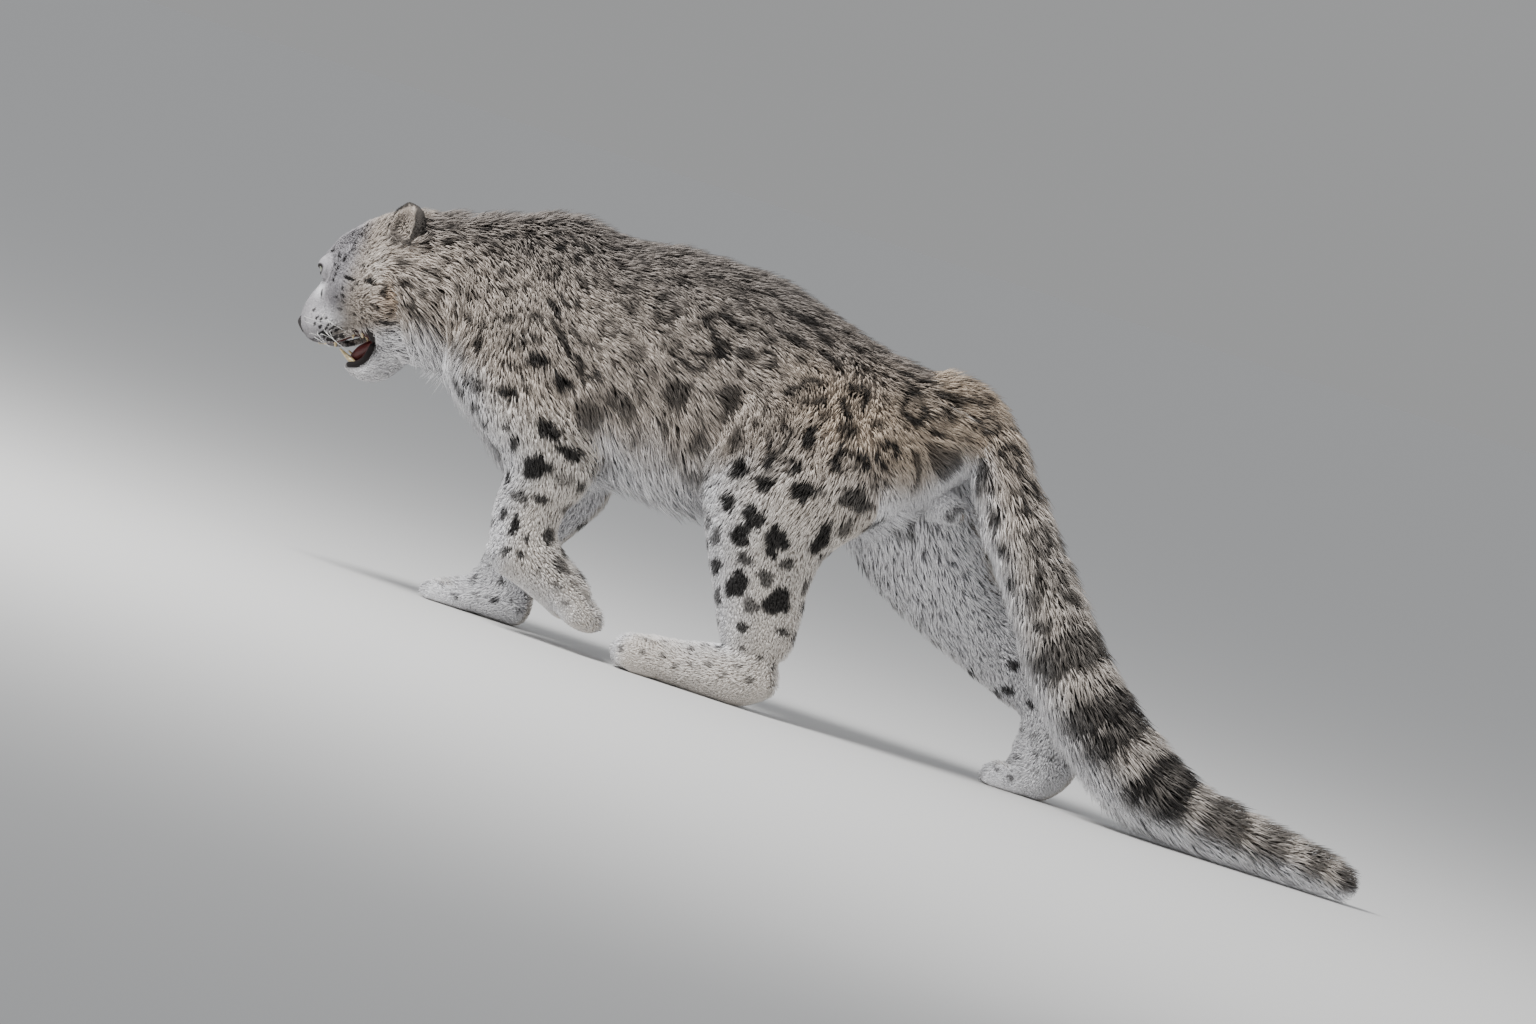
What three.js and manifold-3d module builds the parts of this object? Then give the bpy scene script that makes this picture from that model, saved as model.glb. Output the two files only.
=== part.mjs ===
// A snow leopard prowling along, life size: near forepaw lifted and folded back, far foreleg planted,
// near hind foot flat on the ground, far hind leg pushed out behind, tail sinking to the ground.
// Millimetres, +Z up, the ground at Z 0. The animal faces -X and its left side is towards -Y.
import * as THREE from "three";
import { mergeVertices } from "three/addons/utils/BufferGeometryUtils.js";
import Module from "manifold-3d";

const wasm = await Module();
wasm.setup();

// Driving sizes.
const GAP = 0.3; // between neighbouring parts
const BODY_SIDES = 20; // facets round the trunk
const HEAD_SIDES = 18;
const LEG_SIDES = 10;
const LIMB_SIDES = 12; // round the feet and other rounded forms
const TOE_SIDES = 5;
const EYE_RADIUS = 15;

// The trunk from the neck to the rump: [x, back, belly, half width, how much narrower above than below].
const TRUNK = [
  [-585, 545, 350, 62, 0.0],
  [-550, 560, 330, 78, 0.0],
  [-500, 573, 322, 92, 0.05],
  [-450, 586, 338, 101, 0.08],
  [-400, 600, 312, 110, 0.12],
  [-350, 618, 262, 122, 0.16],
  [-300, 628, 226, 130, 0.18],
  [-250, 620, 230, 133, 0.16],
  [-200, 621, 240, 134, 0.12],
  [-150, 630, 250, 134, 0.1],
  [-100, 631, 252, 133, 0.08],
  [-50, 632, 249, 131, 0.08],
  [0, 631, 264, 126, 0.08],
  [50, 620, 290, 119, 0.08],
  [100, 605, 302, 113, 0.1],
  [150, 590, 305, 109, 0.1],
  [200, 577, 308, 105, 0.1],
  [250, 571, 316, 99, 0.1],
  [300, 568, 345, 86, 0.1],
  [340, 562, 390, 68, 0.1],
  [366, 548, 430, 46, 0.1],
];
const NECK_X = -412; // cut between neck and chest
const CHEST_X = -165; // cut between chest and belly
const LOIN_X = 62; // cut between belly and rump

// Limbs and tail from the body outwards: [x, y, z, half depth, half width], and for a leg the angle
// in degrees by which its section leans from level, so that the next one lies further back.
const NEAR_FORELEG = [
  [-300, -62, 490, 60, 28, 0],
  [-322, -78, 430, 86, 50, 0],
  [-316, -84, 372, 98, 57, 8],
  [-276, -86, 318, 92, 60, 15],
  [-236, -86, 270, 78, 56, 8],
  [-226, -84, 232, 66, 49, 0],
  [-233, -82, 200, 56, 44, 0],
  [-236, -80, 165, 52, 41, 0],
  [-231, -79, 128, 49, 41, 0],
];
const NEAR_FORELEG_CUTS = [4.2, 7.3];
const FAR_FORELEG = [
  [-318, 62, 490, 60, 28, 0],
  [-340, 78, 430, 86, 50, 0],
  [-334, 84, 372, 98, 57, 8],
  [-286, 86, 318, 92, 60, 15],
  [-230, 86, 270, 78, 56, 8],
  [-214, 84, 228, 64, 48, -4],
  [-224, 82, 190, 56, 44, -8],
  [-244, 80, 145, 48, 41, -8],
  [-257, 79, 105, 46, 40, -4],
  [-262, 78, 66, 46, 41, 0],
];
const FAR_FORELEG_CUTS = [4.2, 8.5];
const NEAR_HIND_LEG = [
  [168, -60, 514, 84, 34, 0],
  [164, -72, 470, 132, 62, 0],
  [160, -80, 420, 150, 72, 0],
  [150, -84, 362, 150, 74, 0],
  [128, -86, 302, 126, 68, 0],
  [119, -88, 254, 98, 60, 0],
  [124, -88, 205, 82, 51, 0],
  [138, -88, 155, 71, 43, 0],
  [150, -88, 108, 60, 38, 0],
];
const NEAR_HIND_CUTS = [4.4, 7.4];
const FAR_HIND_LEG = [
  [205, 58, 500, 96, 40, 0],
  [216, 74, 440, 122, 66, 8],
  [264, 84, 376, 116, 68, 24],
  [326, 90, 306, 100, 62, 38],
  [384, 92, 254, 78, 54, 50],
  [450, 92, 214, 62, 44, 60],
  [522, 92, 180, 56, 39, 64],
  [590, 92, 150, 47, 37, 64],
];
const FAR_HIND_CUTS = [3.7, 6.5];
const TAIL = [
  [306, 0, 520, 52, 50],
  [345, -1, 516, 52, 50],
  [386, -3, 488, 54, 52],
  [425, -6, 438, 56, 54],
  [487, -12, 358, 57, 56],
  [541, -20, 292, 62, 60],
  [592, -30, 226, 67, 64],
  [643, -34, 170, 70, 67],
  [702, -34, 120, 71, 68],
  [764, -30, 82, 69, 68],
  [832, -22, 58, 59, 60],
  [902, -12, 49, 51, 52],
  [972, 0, 43, 44, 45],
  [1040, 12, 37, 38, 39],
  [1086, 22, 31, 30, 31],
];
const TAIL_CUTS = [2, 4, 6, 8, 10, 12];

// The four toes of every foot.
const TOE_RADIUS = 14;
const TOE_SPREAD = 23; // between neighbouring toes
const TOE_LEAD = 9; // the middle toes reach this much further

// The head in its own frame: along its axis, up, and out to its left.
const HEAD_PLACE = new THREE.Vector3(-540, 20, 440);
const HEAD_PITCH = 26.5; // nose down
const HEAD_TURN = 14; // to its right, away from its left side
// [along, top, bottom, half width, how much narrower above than below]
const SKULL = [
  [-80, 58, -84, 62, 0.0],
  [-52, 94, -110, 84, 0.0],
  [-22, 108, -119, 92, -0.02],
  [10, 110, -121, 94, 0.0],
  [34, 106, -114, 86, 0.02],
  [52, 101, -92, 77, 0.04],
  [70, 96, -74, 67, 0.07],
  [87, 89, -71, 58, 0.1],
  [101, 73, -70, 51, 0.16],
  [114, 47, -71, 47, 0.2],
  [128, 25, -70, 43, 0.2],
  [145, 11, -67, 39, 0.2],
  [158, -4, -58, 29, 0.16],
  [166, -17, -45, 15, 0.1],
];
const HEAD_CUT = -46; // where the head is parted from the neck, along its axis
const EYE = [103, 41, 28]; // along, up, out
const EAR = [-26, 46, 63];
const JAW = [
  [26, -84, -124, 44, 0.0],
  [48, -92, -137, 42, -0.05],
  [64, -104, -139, 37, -0.1],
  [80, -108, -136, 32, -0.1],
  [93, -109, -128, 25, -0.1],
  [101, -111, -122, 15, 0.0],
];

const rad = THREE.MathUtils.degToRad;
const SIDEWAYS = new THREE.Vector3(0, 1, 0);
const FORWARD = new THREE.Vector3(-1, 0, 0);

// Rows of sizes, filled in along smooth curves with so many steps from row to row.
function refine(rows, steps) {
  const last = rows.length - 1;
  const filled = [];
  for (let i = 0; i < last; i += 1) {
    const [p, q, r, s] = [rows[Math.max(i - 1, 0)], rows[i], rows[i + 1], rows[Math.min(i + 2, last)]];
    for (let step = 0; step < steps; step += 1) {
      const t = step / steps;
      filled.push(q.map((_, k) => smooth(p[k], q[k], r[k], s[k], t)));
    }
  }
  filled.push(rows[last]);
  return filled;
}

// A point between q and r on the smooth curve that comes from p and goes on to s.
function smooth(p, q, r, s, t) {
  const straight = 2 * q + (r - p) * t;
  const bend = (2 * p - 5 * q + 4 * r - s) * t * t;
  return (straight + bend + (3 * q - p - 3 * r + s) * t * t * t) / 2;
}

// A ring of points: an oval whose upper half is narrower by taper, square-shouldered as power grows.
function oval({ middle, up, out, height, width, taper = 0, power = 2, sides = LIMB_SIDES }) {
  const points = [];
  for (let i = 0; i < sides; i += 1) {
    const turn = (2 * Math.PI * i) / sides;
    const rise = Math.sign(Math.sin(turn)) * Math.abs(Math.sin(turn)) ** (2 / power);
    const reach = Math.sign(Math.cos(turn)) * Math.abs(Math.cos(turn)) ** (2 / power);
    const point = middle.clone().addScaledVector(up, rise * height);
    points.push(point.addScaledVector(out, reach * width * (1 - taper * rise)));
  }
  return points;
}

// A closed solid through rings of points, with a fan to a tip at each end, and its rings.
function loft(rings, startTip, endTip) {
  const sides = rings[0].length;
  const points = [...rings.flat(), startTip, endTip];
  const faces = [];
  for (let i = 0; i < sides; i += 1) {
    const j = (i + 1) % sides;
    for (let r = 0; r < rings.length - 1; r += 1) {
      const [a, b, c, d] = [r * sides + i, r * sides + j, (r + 1) * sides + j, (r + 1) * sides + i];
      faces.push(a, b, c, a, c, d);
    }
    const end = (rings.length - 1) * sides;
    faces.push(j, i, points.length - 2);
    faces.push(end + i, end + j, points.length - 1);
  }
  const geometry = new THREE.BufferGeometry().setFromPoints(points);
  geometry.setIndex(faces);
  return { solid: solidOf(geometry), rings };
}

// The solid of a closed geometry, its faces turned out.
function solidOf(geometry) {
  const bare = geometry.clone();
  bare.deleteAttribute("normal");
  bare.deleteAttribute("uv");
  const merged = mergeVertices(bare, 1e-3);
  const triVerts = new Uint32Array(merged.index.array);
  const vertProperties = new Float32Array(merged.attributes.position.array);
  const made = new wasm.Manifold(new wasm.Mesh({ numProp: 3, vertProperties, triVerts }));
  if (made.volume() > 0) return made;
  for (let i = 0; i < triVerts.length; i += 3) {
    [triVerts[i + 1], triVerts[i + 2]] = [triVerts[i + 2], triVerts[i + 1]];
  }
  return new wasm.Manifold(new wasm.Mesh({ numProp: 3, vertProperties, triVerts }));
}

// Ovals set square across a path of [x, y, z, depth, width] rows, with a rounded end past each end row.
function limb(rows, { sides = LIMB_SIDES, steps = 1, side = SIDEWAYS, dome = 0.8 } = {}) {
  const path = refine(rows, steps).map((row) => ({
    middle: new THREE.Vector3(row[0], row[1], row[2]),
    height: row[3],
    width: row[4],
    lean: row[5],
  }));
  const last = path.length - 1;
  path.forEach((ring, i) => {
    const [before, after] = [path[Math.max(i - 1, 0)], path[Math.min(i + 1, last)]];
    const followsPath = ring.lean === undefined;
    ring.along = followsPath
      ? after.middle.clone().sub(before.middle).normalize()
      : new THREE.Vector3(Math.sin(rad(ring.lean)), 0, -Math.cos(rad(ring.lean)));
    ring.out = side.clone().addScaledVector(ring.along, -side.dot(ring.along)).normalize();
    ring.up = new THREE.Vector3().crossVectors(ring.out, ring.along);
    ring.sides = sides;
  });
  const rounded = (ring, way) => {
    const reach = dome * Math.min(ring.height, ring.width) * way;
    const shrunk = [0.72].map((rise) => {
      const keep = Math.sqrt(1 - rise * rise);
      const middle = ring.middle.clone().addScaledVector(ring.along, rise * reach);
      return { ...ring, middle, height: ring.height * keep, width: ring.width * keep };
    });
    return { shrunk, tip: ring.middle.clone().addScaledVector(ring.along, reach) };
  };
  const [start, end] = [rounded(path[0], -1), rounded(path[last], 1)];
  const rings = [...start.shrunk.reverse(), ...path, ...end.shrunk].map(oval);
  return loft(rings, start.tip, end.tip);
}

// Upright ovals at [along, top, bottom, half width, taper] rows of a body that runs along +X or another way.
function hull(rows, { sides, steps = 1, power = 2.1, frame, ends = 0.35, bumps = [] }) {
  const { place, along, up, out } = frame;
  const rings = refine(rows, steps).map((row) => ({
    at: row[0],
    mid: (row[1] + row[2]) / 2,
    height: (row[1] - row[2]) / 2,
    width: row[3],
    taper: row[4],
  }));
  const point = (at, mid) => place.clone().addScaledVector(along, at).addScaledVector(up, mid);
  const [first, last] = [rings[0], rings.at(-1)];
  const step = Math.sign(last.at - first.at);
  const cap = (ring, way) => point(ring.at + way * ends * ring.width, ring.mid);
  const middle = (ring) => point(ring.at, ring.mid);
  const ovals = rings.map((ring) => oval({ ...ring, middle: middle(ring), up, out, power, sides }));
  ovals.flat().forEach((corner) => sculpt(corner, frame, bumps));
  return loft(ovals, cap(first, -step), cap(last, step));
}

// Moves a point by every soft bump near it: [along, up, out, reach, push along, push up, push out],
// the same on both sides of the frame.
function sculpt(corner, frame, bumps) {
  const start = corner.clone();
  for (const [alongAt, upAt, outAt, reach, alongBy, upBy, outBy] of bumps) {
    for (const side of [1, -1]) {
      const away = start.distanceTo(at(frame, alongAt, upAt, side * outAt)) / reach;
      const share = Math.exp(-away * away);
      corner.addScaledVector(frame.along, share * alongBy).addScaledVector(frame.up, share * upBy);
      corner.addScaledVector(frame.out, share * side * outBy);
    }
  }
}

// An egg-shaped solid: its place, its three half sizes and the directions that they lie along.
function egg(place, sizes, frame, detail = 10) {
  const geometry = new THREE.SphereGeometry(1, detail, Math.round(detail * 0.66));
  const basis = new THREE.Matrix4().makeBasis(frame.along, frame.out, frame.up);
  basis.scale(new THREE.Vector3(...sizes)).setPosition(at(frame, ...place));
  return solidOf(geometry.applyMatrix4(basis));
}

// A point of a frame, given along, up and out.
function at({ place, along, up, out }, alongBy, upBy, outBy) {
  return place.clone().addScaledVector(along, alongBy).addScaledVector(up, upBy).addScaledVector(out, outBy);
}

// The same solid swollen by the gap all over, to cut the room that it is set in.
function room(solid) {
  const geometry = geometryOf(solid);
  const { position, normal } = geometry.attributes;
  for (let i = 0; i < position.count; i += 1) {
    const point = new THREE.Vector3().fromBufferAttribute(position, i);
    point.addScaledVector(new THREE.Vector3().fromBufferAttribute(normal, i), GAP);
    position.setXYZ(i, ...point.toArray());
  }
  return solidOf(geometry);
}

// The mesh of a solid, with its normals.
function geometryOf(solid) {
  const { vertProperties, triVerts } = solid.getMesh();
  const geometry = new THREE.BufferGeometry();
  geometry.setAttribute("position", new THREE.BufferAttribute(vertProperties, 3));
  geometry.setIndex(new THREE.BufferAttribute(triVerts, 1));
  geometry.computeVertexNormals();
  return geometry;
}

function union(...solids) {
  return solids.reduce((joined, next) => joined.add(next));
}

// The two sides of a thin cut square across a direction: what lies along it, then what lies behind.
function part(solid, point, direction) {
  const normal = direction.clone().normalize();
  const offset = point.dot(normal);
  const ahead = solid.trimByPlane(normal.toArray(), offset + GAP / 2);
  const behind = solid.trimByPlane(normal.clone().negate().toArray(), -offset + GAP / 2);
  return [ahead, behind];
}

// A limb in lengths, parted square across its path at places counted in rows.
function lengths(solid, rows, cuts) {
  const path = new THREE.CatmullRomCurve3(rows.map((row) => new THREE.Vector3(row[0], row[1], row[2])));
  path.curveType = "catmullrom";
  let rest = solid;
  const parts = cuts.map((cut) => {
    const t = cut / (rows.length - 1);
    const [ahead, behind] = part(rest, path.getPoint(t), path.getTangent(t));
    rest = ahead;
    return behind;
  });
  return [...parts, rest];
}

// What stands above the ground.
const aboveGround = (solid) => solid.trimByPlane([0, 0, 1], 0);

// Four toes side by side at the end of a foot, arched and rounded, in a frame that stands on their pads.
function toesOf({ ball, along, reach, height }) {
  const ahead = new THREE.Vector3(...along).normalize();
  const up = new THREE.Vector3().crossVectors(SIDEWAYS, ahead);
  const frame = { place: new THREE.Vector3(...ball), along: ahead, up, out: SIDEWAYS };
  return [-1.5, -0.5, 0.5, 1.5].map((place) => {
    const out = place * TOE_SPREAD;
    const length = reach - (Math.abs(place) > 1 ? TOE_LEAD : 0);
    const rows = [
      [-18, 0.46 * height, out * 0.8, 0.42 * height],
      [0.4 * length, 0.5 * height, out, 0.48 * height],
      [length - 14, 0.36 * height, out * 1.02, 0.37 * height],
    ];
    const path = rows.map(([a, b, c, depth]) => [...at(frame, a, b, c).toArray(), depth, TOE_RADIUS]);
    return limb(path, { sides: TOE_SIDES, dome: 0.95 }).solid;
  });
}

// Body rows of each foot as [x, y, z, half depth, half width], and its toes from the ball onwards.
const LIFTED_PAW = {
  body: [
    [-231, -79, 122, 48, 41],
    [-198, -79, 106, 42, 42],
    [-162, -79, 88, 38, 44],
    [-138, -79, 74, 35, 44],
  ],
  toes: { ball: [-122, -79, 94], along: [0.83, 0, -0.56], reach: 64, height: 50 },
};
const PLANTED_PAW = {
  body: [
    [-232, 78, 26, 26, 36],
    [-266, 78, 32, 33, 42],
    [-306, 78, 26, 28, 46],
    [-334, 78, 20, 21, 44],
  ],
  toes: { ball: [-324, 78, 0], along: [-1, 0, 0], reach: 58, height: 36 },
};
const NEAR_HIND_FOOT = {
  body: [
    [174, -88, 58, 40, 32],
    [140, -88, 44, 45, 38],
    [100, -88, 38, 40, 41],
    [62, -88, 33, 35, 42],
    [28, -88, 31, 32, 45],
    [4, -88, 29, 30, 45],
  ],
  toes: { ball: [2, -88, 0], along: [-1, 0, 0], reach: 50, height: 58 },
};
const FAR_HIND_FOOT = {
  body: [
    [618, 92, 146, 40, 36],
    [609, 92, 116, 49, 37],
    [602, 92, 84, 50, 38],
    [598, 92, 54, 49, 42],
    [588, 92, 32, 42, 45],
  ],
  toes: { ball: [560, 92, 0], along: [-1, 0, 0], reach: 46, height: 38 },
};

// The head's frame: along its axis to the nose, up square to that, and out to its left.
function headFrame() {
  const turn = new THREE.Quaternion().setFromAxisAngle(new THREE.Vector3(0, 0, 1), rad(-HEAD_TURN));
  const pitch = new THREE.Quaternion().setFromAxisAngle(SIDEWAYS, rad(-HEAD_PITCH));
  const spin = turn.multiply(pitch);
  return {
    place: HEAD_PLACE,
    along: FORWARD.clone().applyQuaternion(spin),
    up: new THREE.Vector3(0, 0, 1).applyQuaternion(spin),
    out: new THREE.Vector3(0, -1, 0).applyQuaternion(spin),
  };
}

// The frame of the ear or eye of one side: side is 1 on the left and -1 on the right.
function tilted(head, place, alongBy, upBy, outBy, side) {
  const origin = at(head, place[0], place[1], side * place[2]);
  const along = at({ ...head, place: new THREE.Vector3() }, alongBy, upBy, side * outBy).normalize();
  const out = new THREE.Vector3().crossVectors(along, head.up).normalize();
  return { place: origin, along, up: new THREE.Vector3().crossVectors(out, along), out };
}

// The ear's leaf, and the hollow that makes it a cup open to the front and the side.
function ear(head, side) {
  const stem = at({ ...head, place: new THREE.Vector3() }, -0.58, 0.8, side * 0.16).normalize();
  const opening = at({ ...head, place: new THREE.Vector3() }, 0.42, 0, side * 0.9);
  opening.addScaledVector(stem, -opening.dot(stem)).normalize();
  const broad = new THREE.Vector3().crossVectors(stem, opening);
  const base = at(head, EAR[0], EAR[1], side * EAR[2]);
  const leaf = (rows, forward) => rows.map(([rise, depth, width]) => {
    const middle = base.clone().addScaledVector(stem, rise).addScaledVector(opening, forward);
    return [...middle.toArray(), depth, width];
  });
  const whole = limb(leaf(EAR_ROWS, 0), { side: broad, sides: 10 }).solid;
  const hollow = EAR_ROWS.slice(1).map(([rise, depth, width]) => [rise + 2, depth, width * 0.76]);
  const cup = whole.subtract(limb(leaf(hollow, EAR_HOLLOW), { side: broad, sides: 10 }).solid);
  return { whole, cup };
}
const EAR_ROWS = [
  [0, 17, 30],
  [22, 17, 33],
  [46, 13, 30],
  [64, 8, 21],
];
const EAR_HOLLOW = 10; // how far forward of the ear's leaf its hollow lies

// Soft bumps and hollows of the face, on both sides: brow, eye socket, cheekbone, cheek, whisker pad,
// side of the muzzle, furrow of the forehead, temple, and the dip between the nostrils and the lip.
const FACE = [
  [107, 60, 27, 15, 9, 1, 2],
  [117, 30, 38, 14, -6, 0, -5],
  [68, 4, 58, 24, 4, 2, 8],
  [16, -38, 84, 34, -4, -5, 8],
  [136, -46, 33, 18, 4, -1, 9],
  [118, -10, 40, 16, 0, 0, -5],
  [80, 96, 0, 14, 0, -3, 0],
  [42, 52, 72, 24, 0, 0, -5],
  [160, -52, 0, 8, -3, 0, 0],
];

// A repeatable draw of numbers from 0 up to 1.
function dice(seed) {
  let state = seed;
  return () => {
    state = (state * 1664525 + 1013904223) % 4294967296;
    return state / 4294967296;
  };
}

// A place on the skin of a loft, at a ring and a share of the way round, and which way is out there.
function skinAt(rings, row, share) {
  const sides = rings[0].length;
  const ring = Math.min(Math.floor(row), rings.length - 2);
  const turn = (share - Math.floor(share)) * sides;
  const corner = Math.floor(turn);
  const across = (r) => rings[r][corner].clone().lerp(rings[r][(corner + 1) % sides], turn - corner);
  const point = across(ring).lerp(across(ring + 1), row - ring);
  const round = rings[ring][(corner + 1) % sides].clone().sub(rings[ring][corner]);
  const facing = new THREE.Vector3().crossVectors(round, across(ring + 1).sub(across(ring))).normalize();
  const middle = rings[ring].reduce((sum, next) => sum.add(next), new THREE.Vector3()).divideScalar(sides);
  if (facing.dot(point.clone().sub(middle)) < 0) facing.negate();
  return { point, facing };
}

// How a lock narrows: share of its length, then of its half width and of its half thickness.
const LOCK_TAPER = [
  [0.2, 1, 1],
  [0.62, 0.8, 0.7],
];
const LOCK_ROOT = 9; // how deep a lock's root is sunk
const LOCK_THICK = 6; // half its thickness at the root

// A flat, tapered lock that bends from its root to its tip, its broad side facing out. With room it is
// that much larger all over, to cut clear what passes near it.
function lock({ from, bend, tip, width }, room = 0) {
  const root = from.point.clone().addScaledVector(from.facing, -LOCK_ROOT);
  const path = new THREE.QuadraticBezierCurve3(root, bend, tip);
  const across = new THREE.Vector3().crossVectors(tip.clone().sub(root), from.facing);
  const rings = LOCK_TAPER.map(([share, wide, deep]) => {
    const along = path.getTangent(share);
    const out = across.clone().addScaledVector(along, -across.dot(along)).normalize();
    const up = new THREE.Vector3().crossVectors(out, along);
    const [height, half] = [LOCK_THICK * deep + room, width * wide + room];
    return oval({ middle: path.getPoint(share), up, out, height, width: half, sides: 4 });
  });
  const start = root.addScaledVector(path.getTangent(0), -3 * room);
  const end = tip.clone().addScaledVector(path.getTangent(1), 5 * room);
  return loft(rings, start, end).solid;
}

// The locks of a fringe, in tiers over part of a loft's skin, from one row to another and between two
// shares of the way round, each tier set over the gaps of the last. A lock hangs by hang, stands out by lift.
function fringe(rings, { rows, spacing, shares: [low, high], count, hang, lift, width, seed }) {
  const draw = dice(seed);
  const locks = [];
  for (let row = rows[0], tier = 0; row <= rows[1]; row += spacing, tier += 1) {
    for (let i = 0; i < count - (tier % 2); i += 1) {
      const place = (i + (tier % 2) / 2 + 0.3 * (draw() - 0.5)) / (count - 1);
      const from = skinAt(rings, row + 0.2 * spacing * draw(), low + (high - low) * place);
      const fall = new THREE.Vector3(...hang).multiplyScalar(0.86 + 0.28 * draw());
      const tip = from.point.clone().add(fall).addScaledVector(from.facing, lift);
      const bend = from.point.clone().addScaledVector(fall, 0.4);
      bend.addScaledVector(from.facing, lift + LOCK_THICK);
      locks.push({ from, bend, tip, width: width * (0.9 + 0.2 * draw()) });
    }
  }
  return locks;
}

const model = new THREE.Group();

// Adds one named part, of which only the largest closed surface is kept.
function add(name, solid, material) {
  const whole = solid.decompose().sort((a, b) => b.volume() - a.volume())[0];
  const mesh = new THREE.Mesh(geometryOf(whole), material);
  mesh.name = name;
  model.add(mesh);
}

const coat = new THREE.MeshStandardMaterial({ color: 0xc9bfb0, roughness: 0.95, metalness: 0 });
const bareSkin = new THREE.MeshStandardMaterial({ color: 0x4a3a36, roughness: 0.6, metalness: 0 });
const flesh = new THREE.MeshStandardMaterial({ color: 0x7c4038, roughness: 0.5, metalness: 0 });
const eyeball = new THREE.MeshStandardMaterial({ color: 0x8f9a80, roughness: 0.08, metalness: 0 });

// The head: jaw, tongue, nose, eyes and ears first, as each is let into the skull.
const head = headFrame();
const SIDES = { left: 1, right: -1 };
const FACE_START = 5; // the first row of the skull that belongs to the face, where rows are closer
const skullRows = [...SKULL.slice(0, FACE_START), ...refine(SKULL.slice(FACE_START), 2)];
const skull = hull(skullRows, { sides: HEAD_SIDES, frame: head, bumps: FACE });
const jawHull = hull(JAW, { sides: 14, frame: head });

// A tooth: its root, its tip and its half width at the gum, in the head's frame.
function tooth([rootAt, tipAt, thick]) {
  const [root, tip] = [at(head, ...rootAt), at(head, ...tipAt)];
  const rows = [0, 0.5, 0.92].map((share) => {
    const size = thick * (1 - 0.8 * share);
    return [...root.clone().lerp(tip, share).toArray(), size, size];
  });
  return limb(rows, { side: head.out, sides: 5 }).solid;
}

// A rounded lip laid round the mouth from corner to corner, through points given for one side.
function lip(points, thick) {
  const other = points.slice(0, -1).map(([along, up, out]) => [along, up, -out]).reverse();
  const rows = [...points, ...other].map((place) => [...at(head, ...place).toArray(), thick, thick]);
  return limb(rows, { side: head.up, sides: 5 }).solid;
}
const UPPER_LIP = [
  [40, -77, 46],
  [62, -62, 40],
  [86, -66, 36],
  [112, -69, 34],
  [138, -64, 28],
  [152, -55, 17],
  [158, -50, 0],
];
const LOWER_LIP = [
  [42, -92, 44],
  [60, -108, 37],
  [78, -112, 30],
  [94, -110, 20],
  [103, -110, 0],
];
const LIP = 4; // half the thickness of a lip
const LOWER_CANINES = [1, -1].map((side) => [[86, -109, side * 15], [107, -81, side * 17], 5.5]);
const CARNASSIALS = [1, -1].map((side) => [[66, -58, side * 30], [66, -78, side * 30], 7]);
const jaw = union(jawHull.solid, lip(LOWER_LIP, LIP), ...LOWER_CANINES.map(tooth));
// [along, up, half thickness, half width] of the tongue, which is drawn up as in a snarl.
const TONGUE = [
  [36, -80, 11, 20],
  [58, -88, 13, 20],
  [76, -93, 13, 18],
  [90, -98, 9, 13],
];
const tongueRows = TONGUE.map(([along, up, thick, wide]) => [...at(head, along, up, 0).toArray(), thick, wide]);
const tongue = limb(tongueRows, { side: head.out, sides: 9 }).solid;
const NOSE = [
  [148, -14, -36, 13, -0.3],
  [159, -20, -45, 19, -0.55],
  [167, -26, -45, 15, -0.5],
];
const nose = hull(NOSE, { sides: 10, frame: head }).solid;
const nostrils = Object.values(SIDES).map((side) => egg([169, -36, side * 9], [8, 4, 3.4], head, 7));
const mouth = union(egg([98, -78, 0], [56, 29, 21], head, 8), egg([66, -86, 0], [28, 32, 20], head, 8));
const LID = 2.4; // how far the lids stand round the eye
const almond = (side) => {
  const gaze = tilted(head, EYE, 0.86, 0.04, 0.5, side);
  return egg([17, 0, 0], [15, 11.5, 7.5], gaze, 8);
};
const ball = (side, radius) => egg([EYE[0], EYE[1], side * EYE[2]], [radius, radius, radius], head, 8);
const ears = { left: ear(head, 1), right: ear(head, -1) };
const earRoom = union(room(ears.left.whole), room(ears.right.whole));

let skullWork = skull.solid.add(lip(UPPER_LIP, LIP)).subtract(earRoom);
for (const side of Object.values(SIDES)) {
  skullWork = skullWork.add(ball(side, EYE_RADIUS + LID)).subtract(ball(side, EYE_RADIUS + GAP));
  skullWork = skullWork.subtract(almond(side));
}
skullWork = skullWork.subtract(mouth).add(union(...CARNASSIALS.map(tooth)));
skullWork = skullWork.subtract(room(jaw)).subtract(room(nose)).subtract(room(tongue));

// Each leg: its rows, where it is parted, its foot and the names of its parts.
const LEGS = [
  [NEAR_FORELEG, NEAR_FORELEG_CUTS, LIFTED_PAW, ["upper_arm_left", "forearm_left", "forepaw_left"]],
  [FAR_FORELEG, FAR_FORELEG_CUTS, PLANTED_PAW, ["upper_arm_right", "forearm_right", "forepaw_right"]],
  [NEAR_HIND_LEG, NEAR_HIND_CUTS, NEAR_HIND_FOOT, ["thigh_left", "shank_left", "hind_foot_left"]],
  [FAR_HIND_LEG, FAR_HIND_CUTS, FAR_HIND_FOOT, ["thigh_right", "shank_right", "hind_foot_right"]],
];
const legs = LEGS.map(([rows, cuts, { body, toes }, names]) => {
  const loft = limb(rows, { sides: LEG_SIDES });
  const whole = aboveGround(union(loft.solid, limb(body).solid, ...toesOf(toes)));
  return { whole, rings: loft.rings, rows, cuts, names };
});
const legRoom = union(...legs.map(({ whole }) => room(whole)));

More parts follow.
